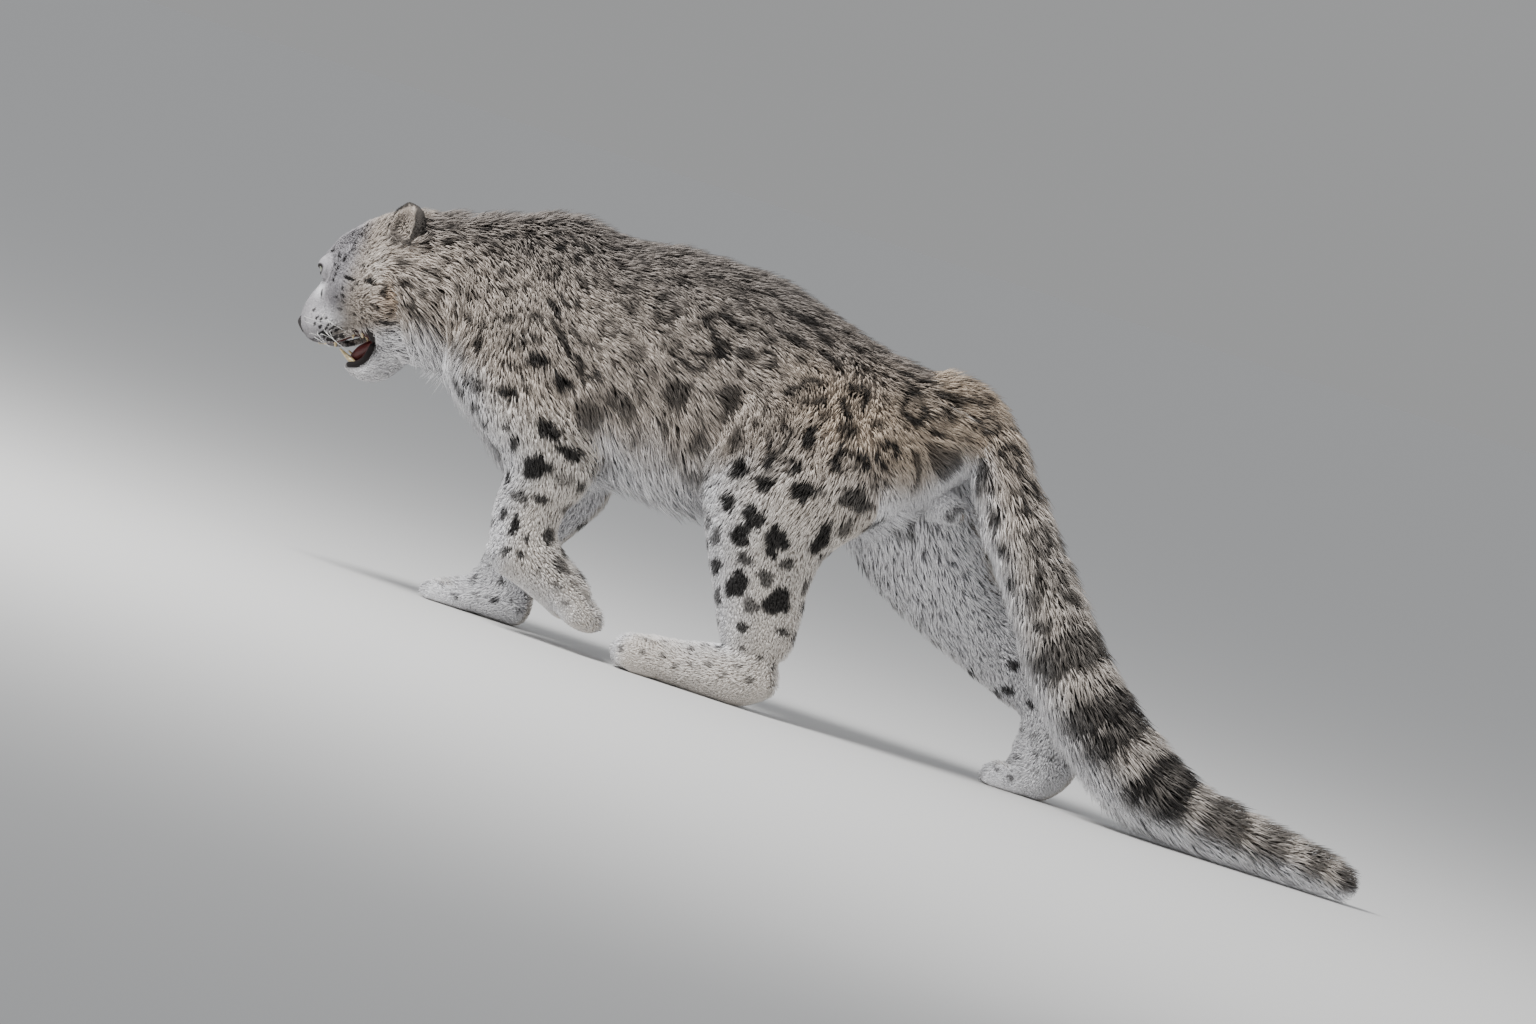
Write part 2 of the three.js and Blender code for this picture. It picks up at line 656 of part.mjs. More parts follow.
// The tail's coat: a core half way through it, and locks that run from row to row out to its tips.
const TAIL_COAT = 30; // depth of the tail's coat
const TAIL_SIDES = 8; // facets round its core
const TAIL_LOCKS = 6; // locks round the tail
const FIRST_TIER = 3; // the row of the tail where its long coat starts
const TIER_SPACING = 1.42; // in rows
const TAIL_LOCK_ROWS = 1.7; // length of a lock of the tail, in rows
const tailRows = TAIL.map(([x, y, z, depth, width], row) => {
  const sunk = (TAIL_COAT / 2) * THREE.MathUtils.clamp(row - FIRST_TIER + 1, 0, 1);
  return [x, y, z, depth - sunk, width - sunk];
});
const tailCore = limb(tailRows, { sides: TAIL_SIDES });
function tailCoat({ solid, rings }) {
  const draw = dice(7);
  const locks = [];
  const lastRing = rings.length - 1;
  for (let row = FIRST_TIER, tier = 0; row < TAIL.length - 2; row += TIER_SPACING, tier += 1) {
    for (let i = 0; i < TAIL_LOCKS; i += 1) {
      const share = (i + (tier % 2) / 2 + 0.2 * draw()) / TAIL_LOCKS;
      const from = skinAt(rings, row + 1, share); // the first ring is the rounded root
      const end = skinAt(rings, Math.min(row + 1 + TAIL_LOCK_ROWS, lastRing), share + 0.02 * (draw() - 0.5));
      const rise = TAIL_COAT * (0.4 + 0.16 * draw());
      const tip = end.point.clone().addScaledVector(end.facing, rise);
      const bend = from.point.clone().lerp(end.point, 0.5).addScaledVector(end.facing, rise + LOCK_THICK);
      const width = 0.58 * TAIL[Math.floor(row)][3];
      locks.push(lock({ from, bend, tip, width }));
    }
  }
  return union(solid, ...locks);
}
const tail = aboveGround(tailCoat(tailCore)).subtract(legRoom);

// The trunk gives way to the limbs and the tail that are set into it, and the neck to the ears.
const trunkFrame = {
  place: new THREE.Vector3(),
  along: new THREE.Vector3(1, 0, 0),
  up: new THREE.Vector3(0, 0, 1),
  out: SIDEWAYS,
};
const FRINGE = 56; // depth of the coat that hangs under the trunk
const UNDER = { shares: [0.66, 0.84] }; // the shares of the way round that lie under the trunk
const TRUNK_FRINGES = [
  { ...UNDER, rows: [1.4, 5], spacing: 0.8, count: 2, hang: [44, 0, -40], lift: 0, width: 30, seed: 3 },
  { ...UNDER, rows: [9, 14], spacing: 0.8, count: 3, hang: [46, 0, -44], lift: -4, width: 31, seed: 5 },
];
const SCROTUM = { place: [352, 376, 0], sizes: [33, 26, 25] };
const trunkCore = TRUNK.map(([x, back, belly, width, taper]) => {
  const starts = THREE.MathUtils.smoothstep(x, -520, -460);
  const ends = THREE.MathUtils.smoothstep(x, 200, 300);
  return [x, back, belly + (FRINGE / 2) * (starts - ends), width, taper];
});
const trunkHull = hull(trunkCore, { sides: BODY_SIDES, frame: trunkFrame });
const scrotum = egg(SCROTUM.place, SCROTUM.sizes, trunkFrame, 8);
const bare = union(trunkHull.solid, scrotum).subtract(room(tailCore.solid));
const trunkRoom = room(bare);
const HAIR_GAP = 1; // between long hair of different parts

// Long hair of the legs: behind each elbow, down the back of the near thigh and under the far leg.
const ELBOW = { rows: [3.4, 4.8], spacing: 0.7, shares: [0.64, 0.8], count: 2, hang: [46, 0, -46], lift: 0 };
const BREECH = { rows: [3, 5], spacing: 0.75, shares: [0.6, 0.82], count: 3, hang: [18, 0, -92], lift: -8 };
const SHANK = { rows: [3, 6.2], spacing: 0.8, shares: [0.24, 0.42], count: 3, hang: [58, 0, -34], lift: -8 };
const LEG_FRINGES = {
  upper_arm_left: { ...ELBOW, width: 22, seed: 9 },
  upper_arm_right: { ...ELBOW, width: 22, seed: 10 },
  thigh_left: { ...BREECH, width: 25, seed: 11 },
  thigh_right: { ...SHANK, width: 28, seed: 13 },
};
const legLocks = legs.map(({ rings, names }) => fringe(rings, LEG_FRINGES[names[0]]));
const legHairRoom = union(...legLocks.flat().map((form) => lock(form, HAIR_GAP)));
const trunkLocks = TRUNK_FRINGES.flatMap((form) => fringe(trunkHull.rings, form));
const trunk = bare.add(union(...trunkLocks.map((form) => lock(form))).subtract(legHairRoom))
  .subtract(legRoom)
  .subtract(earRoom);
const neckPlace = at(head, HEAD_CUT, 0, 0);
const [skullAhead, skullBehind] = part(skullWork, neckPlace, head.along);
const trunkBehind = part(trunk, neckPlace, head.along)[1];
// The ruff behind the cheeks.
const RUFF = { rows: [0.9, 1.4], spacing: 0.45, count: 3, hang: [52, 0, -46], lift: 0, width: 22 };
const ruff = union(
  ...fringe(skull.rings, { ...RUFF, shares: [0.84, 1.02], seed: 17 }).map((form) => lock(form)),
  ...fringe(skull.rings, { ...RUFF, shares: [0.48, 0.66], seed: 19 }).map((form) => lock(form)),
).subtract(room(skullAhead)).subtract(legRoom);
const alongX = (x) => new THREE.Vector3(x, 0, 0);
const [body, neck] = part(trunkBehind.add(skullBehind).add(ruff), alongX(NECK_X), trunkFrame.along);
const [afterChest, chest] = part(body, alongX(CHEST_X), trunkFrame.along);
const [rump, belly] = part(afterChest, alongX(LOIN_X), trunkFrame.along);

add("head", skullAhead, coat);
add("jaw", jaw.subtract(room(tongue)), coat);
add("tongue", tongue, flesh);
add("nose", nose.subtract(union(...nostrils)), bareSkin);
for (const [name, side] of Object.entries(SIDES)) {
  add("eye_" + name, ball(side, EYE_RADIUS), eyeball);
  add("ear_" + name, ears[name].cup, coat);
}
add("neck", neck, coat);
add("chest", chest, coat);
add("belly", belly, coat);
add("rump", rump, coat);
legs.forEach(({ whole, rows, cuts, names }, leg) => {
  const hair = union(...legLocks[leg].map((form) => lock(form))).subtract(trunkRoom);
  lengths(whole.add(hair), rows, cuts).forEach((piece, i) => add(names[i], piece, coat));
});
lengths(tail, TAIL, TAIL_CUTS).forEach((piece, i) => add("tail_" + (i + 1), piece, coat));

// The origin lies on the ground, under the middle of the model's box.
const middle = new THREE.Box3().setFromObject(model).getCenter(new THREE.Vector3());
model.position.set(-middle.x, -middle.y, 0);

export default model;
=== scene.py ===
# %% [markdown]
# A snow leopard, life size, prowling with its mouth open. The real animal is one body under one coat, so
# this lesson makes the skin first, in one piece, then finds which way the hair lies at every place on it,
# and last grows the coat as small closed blades of mesh. The sizes are millimetres in the animal's own
# frame: it faces -X, its left side is towards -Y, and Z is up from the ground.

# %% Frame
import math

import bmesh
import bpy
import numpy as np
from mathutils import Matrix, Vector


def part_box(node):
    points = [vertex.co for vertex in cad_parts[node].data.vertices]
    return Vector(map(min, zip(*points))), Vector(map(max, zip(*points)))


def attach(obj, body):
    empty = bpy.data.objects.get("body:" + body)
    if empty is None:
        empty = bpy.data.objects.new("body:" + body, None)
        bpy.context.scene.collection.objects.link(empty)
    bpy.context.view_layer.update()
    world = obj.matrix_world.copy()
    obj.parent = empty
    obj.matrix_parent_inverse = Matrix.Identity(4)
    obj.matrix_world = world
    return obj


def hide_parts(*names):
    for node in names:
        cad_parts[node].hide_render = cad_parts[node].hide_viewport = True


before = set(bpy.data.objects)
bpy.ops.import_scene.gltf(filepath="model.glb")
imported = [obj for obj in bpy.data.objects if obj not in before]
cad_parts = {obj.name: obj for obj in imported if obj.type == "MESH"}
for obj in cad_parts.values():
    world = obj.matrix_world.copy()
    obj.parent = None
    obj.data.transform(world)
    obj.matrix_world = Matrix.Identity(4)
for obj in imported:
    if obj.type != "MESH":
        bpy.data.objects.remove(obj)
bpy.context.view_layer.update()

import openvdb
from mathutils import Matrix, Vector

# %% [markdown]
# The photograph is taken square on to the left side, a little from the tail, with a long lens from far
# off, and the ground in it falls to the right. Here the ground is level, so the camera is rolled by that
# slope instead. Everything is placed in the animal's own frame, which is shifted from the frame of the
# solid model, and the left eye, which both have, gives the shift.

# %% Head frame
def unit(v):
    return v / np.maximum(np.linalg.norm(v, axis=-1, keepdims=True), 1e-9)


HEAD_PLACE = np.array([-540.0, 20.0, 440.0])
HEAD_PITCH = 26.5  # nose down
HEAD_TURN = 14  # away from its left side
EYE = (103, 41, 28)  # along the head, up, and out to the side
EYE_RADIUS = 15
head_turn = Matrix.Rotation(math.radians(-HEAD_TURN), 3, "Z")
head_spin = head_turn @ Matrix.Rotation(math.radians(-HEAD_PITCH), 3, "Y")
ALONG = np.array(head_spin @ Vector((-1, 0, 0)))
UP = np.array(head_spin @ Vector((0, 0, 1)))
OUT = np.array(head_spin @ Vector((0, -1, 0)))


def on_head(along, up, out):
    """A place on the head, from its own three sizes."""
    place = HEAD_PLACE + np.outer(np.ravel(along), ALONG)
    return place + np.outer(np.ravel(up), UP) + np.outer(np.ravel(out), OUT)


def head_sizes(points):
    """The three sizes of places on the head: along, up and out."""
    away = points - HEAD_PLACE
    return away @ ALONG, away @ UP, away @ OUT


left_eye = (np.array(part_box("eye_left")[0]) + np.array(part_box("eye_left")[1])) / 2
SHIFT = left_eye * 1000 - on_head(*EYE)[0]
print("shift of the animal's frame", SHIFT.round(2), "along", ALONG.round(3))


def metres(points):
    """Places in the animal's frame, as metres in the frame of the solid model."""
    return (np.asarray(points, float) + SHIFT) / 1000


# %% Camera
VIEW_TURN = math.radians(8)  # towards the tail from square on
VIEW_RISE = math.radians(2)
ROLL = math.radians(18)
VIEW_DISTANCE = 19200
LENS = 300
FILM_WIDTH = 36
VIEW_MIDDLE = (97.2, 287.1)  # across the picture and up, at the middle of the picture
ACROSS = np.array([math.cos(VIEW_TURN), math.sin(VIEW_TURN), 0])
TO_CAMERA = np.array([
    math.sin(VIEW_TURN) * math.cos(VIEW_RISE),
    -math.cos(VIEW_TURN) * math.cos(VIEW_RISE),
    math.sin(VIEW_RISE),
])
rise = np.cross(TO_CAMERA, ACROSS)
camera_right = ACROSS * math.cos(ROLL) + rise * math.sin(ROLL)
camera_up = rise * math.cos(ROLL) - ACROSS * math.sin(ROLL)
target = ACROSS * VIEW_MIDDLE[0] + np.array([0, 0, VIEW_MIDDLE[1]])
camera_data = bpy.data.cameras.new("camera")
camera_data.lens = LENS
camera_data.sensor_width = FILM_WIDTH
camera_data.clip_end = 200
camera = bpy.data.objects.new("camera", camera_data)
bpy.context.scene.collection.objects.link(camera)
columns = Matrix((camera_right, camera_up, TO_CAMERA)).transposed().to_4x4()
camera.matrix_world = Matrix.Translation(metres(target + TO_CAMERA * VIEW_DISTANCE)) @ columns
bpy.context.scene.camera = camera
print("camera at", [round(v, 2) for v in camera.matrix_world.translation])

# %% [markdown]
# The tables are those that the solid model is drawn from: they give the outline of the coat. Beside each
# stands the depth of the coat there, which is long under the trunk and on the tail and almost nothing on
# the nose, and the skin lies that much further in.

# %% Trunk
# from the neck to the rump: x, back, belly, half width, how much narrower above than below
TRUNK = [
    (-585, 545, 350, 62, 0.0),
    (-550, 560, 330, 78, 0.0),
    (-500, 573, 322, 92, 0.05),
    (-450, 586, 338, 101, 0.08),
    (-400, 600, 312, 110, 0.12),
    (-350, 618, 262, 122, 0.16),
    (-300, 628, 226, 130, 0.18),
    (-250, 620, 230, 133, 0.16),
    (-200, 621, 240, 134, 0.12),
    (-150, 630, 250, 134, 0.1),
    (-100, 631, 252, 133, 0.08),
    (-50, 632, 249, 131, 0.08),
    (0, 631, 264, 126, 0.08),
    (50, 620, 290, 119, 0.08),
    (100, 605, 302, 113, 0.1),
    (150, 590, 305, 109, 0.1),
    (200, 577, 308, 105, 0.1),
    (250, 571, 316, 99, 0.1),
    (300, 568, 345, 86, 0.1),
    (340, 562, 390, 68, 0.1),
    (366, 548, 430, 46, 0.1),
]
print("trunk", len(TRUNK), "rows")
FRINGE = 56  # depth of the coat that hangs under the trunk
BACK_COAT = 22  # depth of the coat on the back and flanks
NECK_COAT = 30

# %% Legs
# from the body outwards: x, y, z, half depth, half width, lean of the section, depth of the coat
LEGS = {
    "near_fore": [
        (-300, -62, 490, 60, 28, 0, 20),
        (-322, -78, 430, 86, 50, 0, 20),
        (-316, -84, 372, 98, 57, 8, 18),
        (-276, -86, 318, 92, 60, 15, 15),
        (-236, -86, 270, 78, 56, 8, 12),
        (-226, -84, 232, 66, 49, 0, 10),
        (-233, -82, 200, 56, 44, 0, 9),
        (-236, -80, 165, 52, 41, 0, 8),
        (-231, -79, 128, 49, 41, 0, 7),
    ],
    "far_fore": [
        (-318, 62, 490, 60, 28, 0, 20),
        (-340, 78, 430, 86, 50, 0, 20),
        (-334, 84, 372, 98, 57, 8, 18),
        (-286, 86, 318, 92, 60, 15, 15),
        (-230, 86, 270, 78, 56, 8, 12),
        (-214, 84, 228, 64, 48, -4, 10),
        (-224, 82, 190, 56, 44, -8, 9),
        (-244, 80, 145, 48, 41, -8, 8),
        (-257, 79, 105, 46, 40, -4, 7),
        (-262, 78, 66, 46, 41, 0, 6),
    ],
    "near_hind": [
        (168, -60, 514, 84, 34, 0, 22),
        (164, -72, 470, 132, 62, 0, 22),
        (160, -80, 420, 150, 72, 0, 20),
        (150, -84, 362, 150, 74, 0, 18),
        (128, -86, 302, 126, 68, 0, 15),
        (119, -88, 254, 98, 60, 0, 11),
        (124, -88, 205, 82, 51, 0, 9),
        (138, -88, 155, 71, 43, 0, 8),
        (150, -88, 108, 60, 38, 0, 7),
    ],
    "far_hind": [
        (205, 58, 500, 96, 40, 0, 22),
        (216, 74, 440, 122, 66, 8, 24),
        (264, 84, 376, 116, 68, 24, 26),
        (326, 90, 306, 100, 62, 38, 25),
        (384, 92, 254, 78, 54, 50, 22),
        (450, 92, 214, 62, 44, 60, 17),
        (522, 92, 180, 56, 39, 64, 12),
        (590, 92, 150, 47, 37, 64, 8),
    ],
}
print({name: len(rows) for name, rows in LEGS.items()}, "rows")

# %% Feet
# rows of each foot, then the ball of its toes, the way that they point, their reach and their height
FEET = {
    "near_fore": (
        [(-231, -79, 122, 48, 41), (-198, -79, 106, 42, 42), (-162, -79, 88, 38, 44),
         (-138, -79, 74, 35, 44)],
        (-122, -79, 94), (0.83, 0, -0.56), 64, 50,
    ),
    "far_fore": (
        [(-232, 78, 26, 26, 36), (-266, 78, 32, 33, 42), (-306, 78, 26, 28, 46), (-334, 78, 20, 21, 44)],
        (-324, 78, 0), (-1, 0, 0), 58, 36,
    ),
    "near_hind": (
        [(174, -88, 58, 40, 32), (140, -88, 44, 45, 38), (100, -88, 38, 40, 41), (62, -88, 33, 35, 42),
         (28, -88, 31, 32, 45), (4, -88, 29, 30, 45)],
        (2, -88, 0), (-1, 0, 0), 50, 58,
    ),
    "far_hind": (
        [(618, 92, 146, 40, 36), (609, 92, 116, 49, 37), (602, 92, 84, 50, 38), (598, 92, 54, 49, 42),
         (588, 92, 32, 42, 45)],
        (560, 92, 0), (-1, 0, 0), 46, 38,
    ),
}
TOE_RADIUS = 14
TOE_SPREAD = 23
TOE_LEAD = 9  # how far the middle toes stand in front of the outer two
FOOT_COAT = 8
TOE_COAT = 5
print({name: len(foot[0]) for name, foot in FEET.items()}, "rows")

# %% Tail
# from the rump to the tip: x, y, z, half depth, half width
TAIL = [
    (306, 0, 520, 52, 50),
    (345, -1, 516, 52, 50),
    (386, -3, 488, 54, 52),
    (425, -6, 438, 56, 54),
    (487, -12, 358, 57, 56),
    (541, -20, 292, 62, 60),
    (592, -30, 226, 67, 64),
    (643, -34, 170, 70, 67),
    (702, -34, 120, 71, 68),
    (764, -30, 82, 69, 68),
    (832, -22, 58, 59, 60),
    (902, -12, 49, 51, 52),
    (972, 0, 43, 44, 45),
    (1040, 12, 37, 38, 39),
    (1086, 22, 31, 30, 31),
]
TAIL_COAT = 30
print("tail", len(TAIL), "rows")

# %% Skull and jaw
# along, top, bottom, half width, how much narrower above than below, depth of the coat
SKULL = [
    (-80, 58, -84, 62, 0.0, 22),
    (-52, 94, -110, 84, 0.0, 17),
    (-22, 108, -119, 92, -0.02, 13),
    (10, 110, -121, 94, 0.0, 11),
    (34, 106, -114, 86, 0.02, 9),
    (52, 101, -92, 77, 0.04, 8),
    (70, 96, -74, 67, 0.07, 6),
    (87, 89, -71, 58, 0.1, 5),
    (101, 73, -70, 51, 0.16, 4),
    (114, 47, -71, 47, 0.2, 3),
    (128, 25, -70, 43, 0.2, 2.5),
    (145, 11, -67, 39, 0.2, 2.5),
    (158, -4, -58, 29, 0.16, 2.5),
    (166, -17, -45, 15, 0.1, 2.5),
]
JAW = [
    (26, -84, -124, 44, 0.0, 10),
    (48, -92, -137, 42, -0.05, 8),
    (64, -104, -139, 37, -0.1, 6),
    (80, -108, -136, 32, -0.1, 5),
    (93, -109, -128, 25, -0.1, 4),
    (101, -111, -122, 15, 0.0, 3),
]
print("skull", len(SKULL), "rows, jaw", len(JAW), "rows")

# %% Bumps of the face, ears, mouth and nose
# bumps and hollows on both sides: brow, socket, cheekbone, cheek, whisker pad, side of the muzzle,
# furrow of the forehead, temple and the dip under the nose: along, up, out, reach, then the push
# along, up and out
FACE = [
    (107, 60, 27, 15, 9, 1, 2),
    (117, 30, 38, 14, -6, 0, -5),
    (70, 4, 58, 24, 4, 2, 8),
    (16, -38, 84, 34, -4, -5, 8),
    (136, -46, 33, 18, 4, -1, 9),
    (118, -10, 40, 16, 0, 0, -5),
    (80, 96, 0, 14, 0, -3, 0),
    (42, 52, 72, 24, 0, 0, -5),
    (160, -52, 0, 8, -3, 0, 0),
]
EAR = (-26, 46, 63)  # the ear's foot
# up the ear: height, half depth, half width
EAR_ROWS = [(0, 17, 30), (22, 17, 33), (46, 13, 30), (64, 8, 21)]
EAR_HOLLOW = 10
# the lips, from the corner of the mouth to its middle: along, up and out
UPPER_LIP = [
    (40, -77, 46),
    (62, -62, 40),
    (86, -66, 36),
    (112, -69, 34),
    (138, -64, 28),
    (152, -55, 17),
    (158, -50, 0),
]
LOWER_LIP = [(42, -92, 44), (60, -108, 37), (78, -112, 30), (94, -110, 20), (103, -110, 0)]
LIP = 3.4  # half the thickness of a lip
# the hollows of the mouth: their places, then half sizes along, out and up
MOUTH = [((98, -78, 0), (56, 29, 21)), ((66, -86, 0), (28, 32, 20))]
# along, top, bottom, half width, taper
NOSE = [(150, -13, -37, 14, -0.3), (161, -18, -47, 20.5, -0.55), (169.5, -24, -47, 17, -0.5)]
NOSTRIL = ((173, -37, 9.5), (8, 4, 3.6))
# the dark web of skin at the corner of the mouth, across and up the picture
LIP_CORNER = [(-566, 361), (-553, 356), (-547, 340), (-548, 322), (-556, 308), (-571, 301)]
# along, up, half height, half width
TONGUE = [(36, -80, 11, 20), (58, -88, 13, 20), (76, -93, 13, 18), (90, -98, 9, 13)]
print(len(FACE), "bumps and hollows on each side of the face")
# %% [markdown]
# Every form is a loft: ovals set along a path, joined into one closed surface. The rows of a table are
# filled in along smooth curves first.

# %% Lofts
def refine(rows, steps=4):
    """Rows filled in along smooth curves, with so many steps from row to row."""
    rows = np.array(rows, float)
    before = np.vstack([rows[:1], rows[:-2]])[:, None]
    start, end = rows[:-1][:, None], rows[1:][:, None]
    after = np.vstack([rows[2:], rows[-1:]])[:, None]
    t = (np.arange(steps) / steps)[None, :, None]
    straight = 2 * start + (end - before) * t + (2 * before - 5 * start + 4 * end - after) * t ** 2
    curved = straight + (3 * start - before - 3 * end + after) * t ** 3
    return np.vstack([curved.reshape(-1, rows.shape[1]) / 2, rows[-1:]])


def ovals(middle, up, out, height, width, taper=0.0, power=2.0, sides=28):
    """Rings of points, one for each middle, square-shouldered as power grows."""
    turn = 2 * np.pi * np.arange(sides) / sides
    rise = np.sign(np.sin(turn)) * np.abs(np.sin(turn)) ** (2 / power)
    reach = np.sign(np.cos(turn)) * np.abs(np.cos(turn)) ** (2 / power)
    taper = np.broadcast_to(taper, height.shape)
    across = reach * width[:, None] * (1 - taper[:, None] * rise)
    upwards = rise * height[:, None]
    return middle[:, None] + upwards[..., None] * up[:, None] + across[..., None] * out[:, None]


def closed(rings, start, end):
    """The points and triangles of a closed surface through rings, with a tip at each end."""
    count, sides = rings.shape[:2]
    points = np.vstack([rings.reshape(-1, 3), start, end])
    corner = np.arange(count * sides).reshape(count, sides)
    after = np.roll(corner, -1, axis=1)
    faces = [
        np.stack([corner[:-1], after[:-1], after[1:]], -1).reshape(-1, 3),
        np.stack([corner[:-1], after[1:], corner[1:]], -1).reshape(-1, 3),
        np.stack([after[0], corner[0], np.full(sides, len(points) - 2)], -1),
        np.stack([corner[-1], after[-1], np.full(sides, len(points) - 1)], -1),
    ]
    return points, np.vstack(faces)


def limb(rows, side=(0, 1, 0), dome=0.8, sides=28, steps=4):
    """A loft along a path of x, y, z, half depth, half width and perhaps a lean, rounded at both ends."""
    path = refine(rows, steps)
    middle, height, width = path[:, :3], path[:, 3], path[:, 4]
    along = unit(np.gradient(middle, axis=0))
    if path.shape[1] > 5:
        lean = np.radians(path[:, 5])
        along = np.stack([np.sin(lean), 0 * lean, -np.cos(lean)], -1)
    side = np.broadcast_to(side, middle.shape)
    out = unit(side - along * (side * along).sum(-1, keepdims=True))
    up = np.cross(out, along)
    rings = [ovals(middle, up, out, height, width, sides=sides)]
    tips = []
    for end, way in ((0, -1), (-1, 1)):
        reach = dome * min(height[end], width[end]) * way
        shares = np.array([0.5, 0.86])
        keep = np.sqrt(1 - shares ** 2)
        places = middle[end] + np.outer(shares * reach, along[end])
        both = np.ones((2, 1))
        axes = (up[end] * both, out[end] * both)
        cap = ovals(places, *axes, height[end] * keep, width[end] * keep, sides=sides)
        rings = [cap[::-1], *rings] if way < 0 else [*rings, cap]
        tips.append(middle[end] + along[end] * reach)
    return closed(np.vstack(rings), *tips)


def sculpt(points, bumps):
    """Points of the head moved by every soft bump near them, on both sides."""
    moved = points.copy()
    for along, up, out, reach, along_by, up_by, out_by in bumps:
        for side in (1, -1):
            away = np.linalg.norm(points - on_head(along, up, side * out)[0], axis=-1) / reach
            share = np.exp(-away ** 2)[..., None]
            moved = moved + share * (along_by * ALONG + up_by * UP + side * out_by * OUT)
    return moved


def hull(rows, origin, along, up, out, power=2.1, ends=0.35, sides=48, steps=4, bumps=()):
    """A loft of upright ovals: place along, top, bottom, half width and taper in each row."""
    path = refine(rows, steps)
    middle = origin + np.outer(path[:, 0], along) + np.outer((path[:, 1] + path[:, 2]) / 2, up)
    many = np.ones((len(path), 1))
    height = (path[:, 1] - path[:, 2]) / 2
    rings = ovals(middle, up * many, out * many, height, path[:, 3], path[:, 4], power, sides)
    step = math.copysign(ends, path[-1, 0] - path[0, 0])
    start = middle[0] - along * step * path[0, 3]
    end = middle[-1] + along * step * path[-1, 3]
    return closed(sculpt(rings, bumps), start, end)


# %% [markdown]
# Every form is wanted twice: as the outline of the coat, which is what the tables give, and bare, as the
# skin under it. So each function below takes the depth of the coat away where it is asked to.

# %% Outlines of the trunk and legs
X, Y, Z = np.eye(3)
ORIGIN = np.zeros(3)


def smoothstep(low, high, value):
    t = np.clip((value - low) / (high - low), 0, 1)
    return t * t * (3 - 2 * t)


def trunk_form(bare):
    """The trunk as far out as its coat, or bare, as far out as its skin."""
    rows = np.array(TRUNK, float)
    fringe = smoothstep(-520, -460, rows[:, 0]) - smoothstep(200, 300, rows[:, 0])
    coat = BACK_COAT + (NECK_COAT - BACK_COAT) * smoothstep(-380, -480, rows[:, 0])
    rows[:, 1] -= bare * coat
    rows[:, 2] += bare * (coat + (FRINGE - BACK_COAT) * fringe)
    rows[:, 3] -= bare * coat
    return hull(rows, ORIGIN, X, Z, Y)


def leg_form(name, bare):
    rows = np.array(LEGS[name], float)
    rows[:, 3:5] -= bare * rows[:, 6:]
    return limb(rows[:, :6])


# %% Outlines of the feet
def toe_rows(name):
    """The rows of the four toes of a foot, each from its ball to its end."""
    _, ball, ahead, reach, height = FEET[name]
    ahead = unit(np.array(ahead, float))
    up = np.cross(Y, ahead)
    toes = []
    for place in (-1.5, -0.5, 0.5, 1.5):
        out = place * TOE_SPREAD
        length = reach - (TOE_LEAD if abs(place) > 1 else 0)
        rows = [
            (-18, 0.46 * height, out * 0.8, 0.42 * height),
            (0.4 * length, 0.5 * height, out, 0.48 * height),
            (length - 14, 0.36 * height, out * 1.02, 0.37 * height),
        ]
        toes.append([
            (*(np.array(ball) + a * ahead + b * up + c * Y), depth, TOE_RADIUS) for a, b, c, depth in rows])
    return toes


def foot_forms(name, bare):
    """A foot and its toes. Its coat lies on top and at the sides, and its sole is bare."""
    forms = []
    toes = [(toe, TOE_COAT, 0.95) for toe in toe_rows(name)]
    for rows, coat, dome in ((FEET[name][0], FOOT_COAT, 0.8), *toes):
        rows = np.array(rows, float)
        rows[:, 2] -= bare * coat / 2
        rows[:, 3] -= bare * coat / 2
        rows[:, 4] -= bare * coat
        forms.append(limb(rows, dome=dome))
    return forms


# %% Outlines of the tail and head
def tail_form(bare):
    rows = np.array(TAIL, float)
    coat = np.minimum(TAIL_COAT, 0.6 * rows[:, 4])
    coat[:3] = (20, 22, 26)
    rows[:, 3:5] -= bare * coat[:, None]
    return limb(rows)


def head_form(rows, bare, bumps=()):
    rows = np.array(rows, float)
    rows[:, 1] -= bare * rows[:, 5]
    rows[:, 2] += bare * rows[:, 5]
    rows[:, 3] -= bare * rows[:, 5]
    rows[-1, 0] -= bare * rows[-1, 5]
    return hull(rows[:, :5], HEAD_PLACE, ALONG, UP, OUT, bumps=bumps)


# %% Outlines of the ears and lips
def ear_axes(side):
    """Which way an ear stands, opens and spreads."""
    stem = unit(-0.58 * ALONG + 0.8 * UP + side * 0.16 * OUT)
    opening = 0.42 * ALONG + side * 0.9 * OUT
    opening = unit(opening - stem * (opening @ stem))
    return stem, opening, np.cross(stem, opening)


def ear_forms(side, bare):
    """The ear's leaf and the hollow that makes it a cup."""
    stem, opening, broad = ear_axes(side)
    base = on_head(EAR[0], EAR[1], side * EAR[2])[0]

    def leaf(rows, forward):
        return [(*(base + rise * stem + forward * opening), depth, width) for rise, depth, width in rows]

    whole = [(rise, depth - 2 * bare, width - 2 * bare) for rise, depth, width in EAR_ROWS]
    hollow = [(rise + 2, depth, width * 0.76) for rise, depth, width in EAR_ROWS[1:]]
    return limb(leaf(whole, 0), side=broad), limb(leaf(hollow, EAR_HOLLOW), side=broad)


def lip_form(points, thick):
    """A lip from one corner of the mouth round to the other."""
    other = [(along, up, -out) for along, up, out in points[:-1]][::-1]
    rows = [(*on_head(*place)[0], thick, thick) for place in (*points, *other)]
    return limb(rows, side=UP, sides=12)


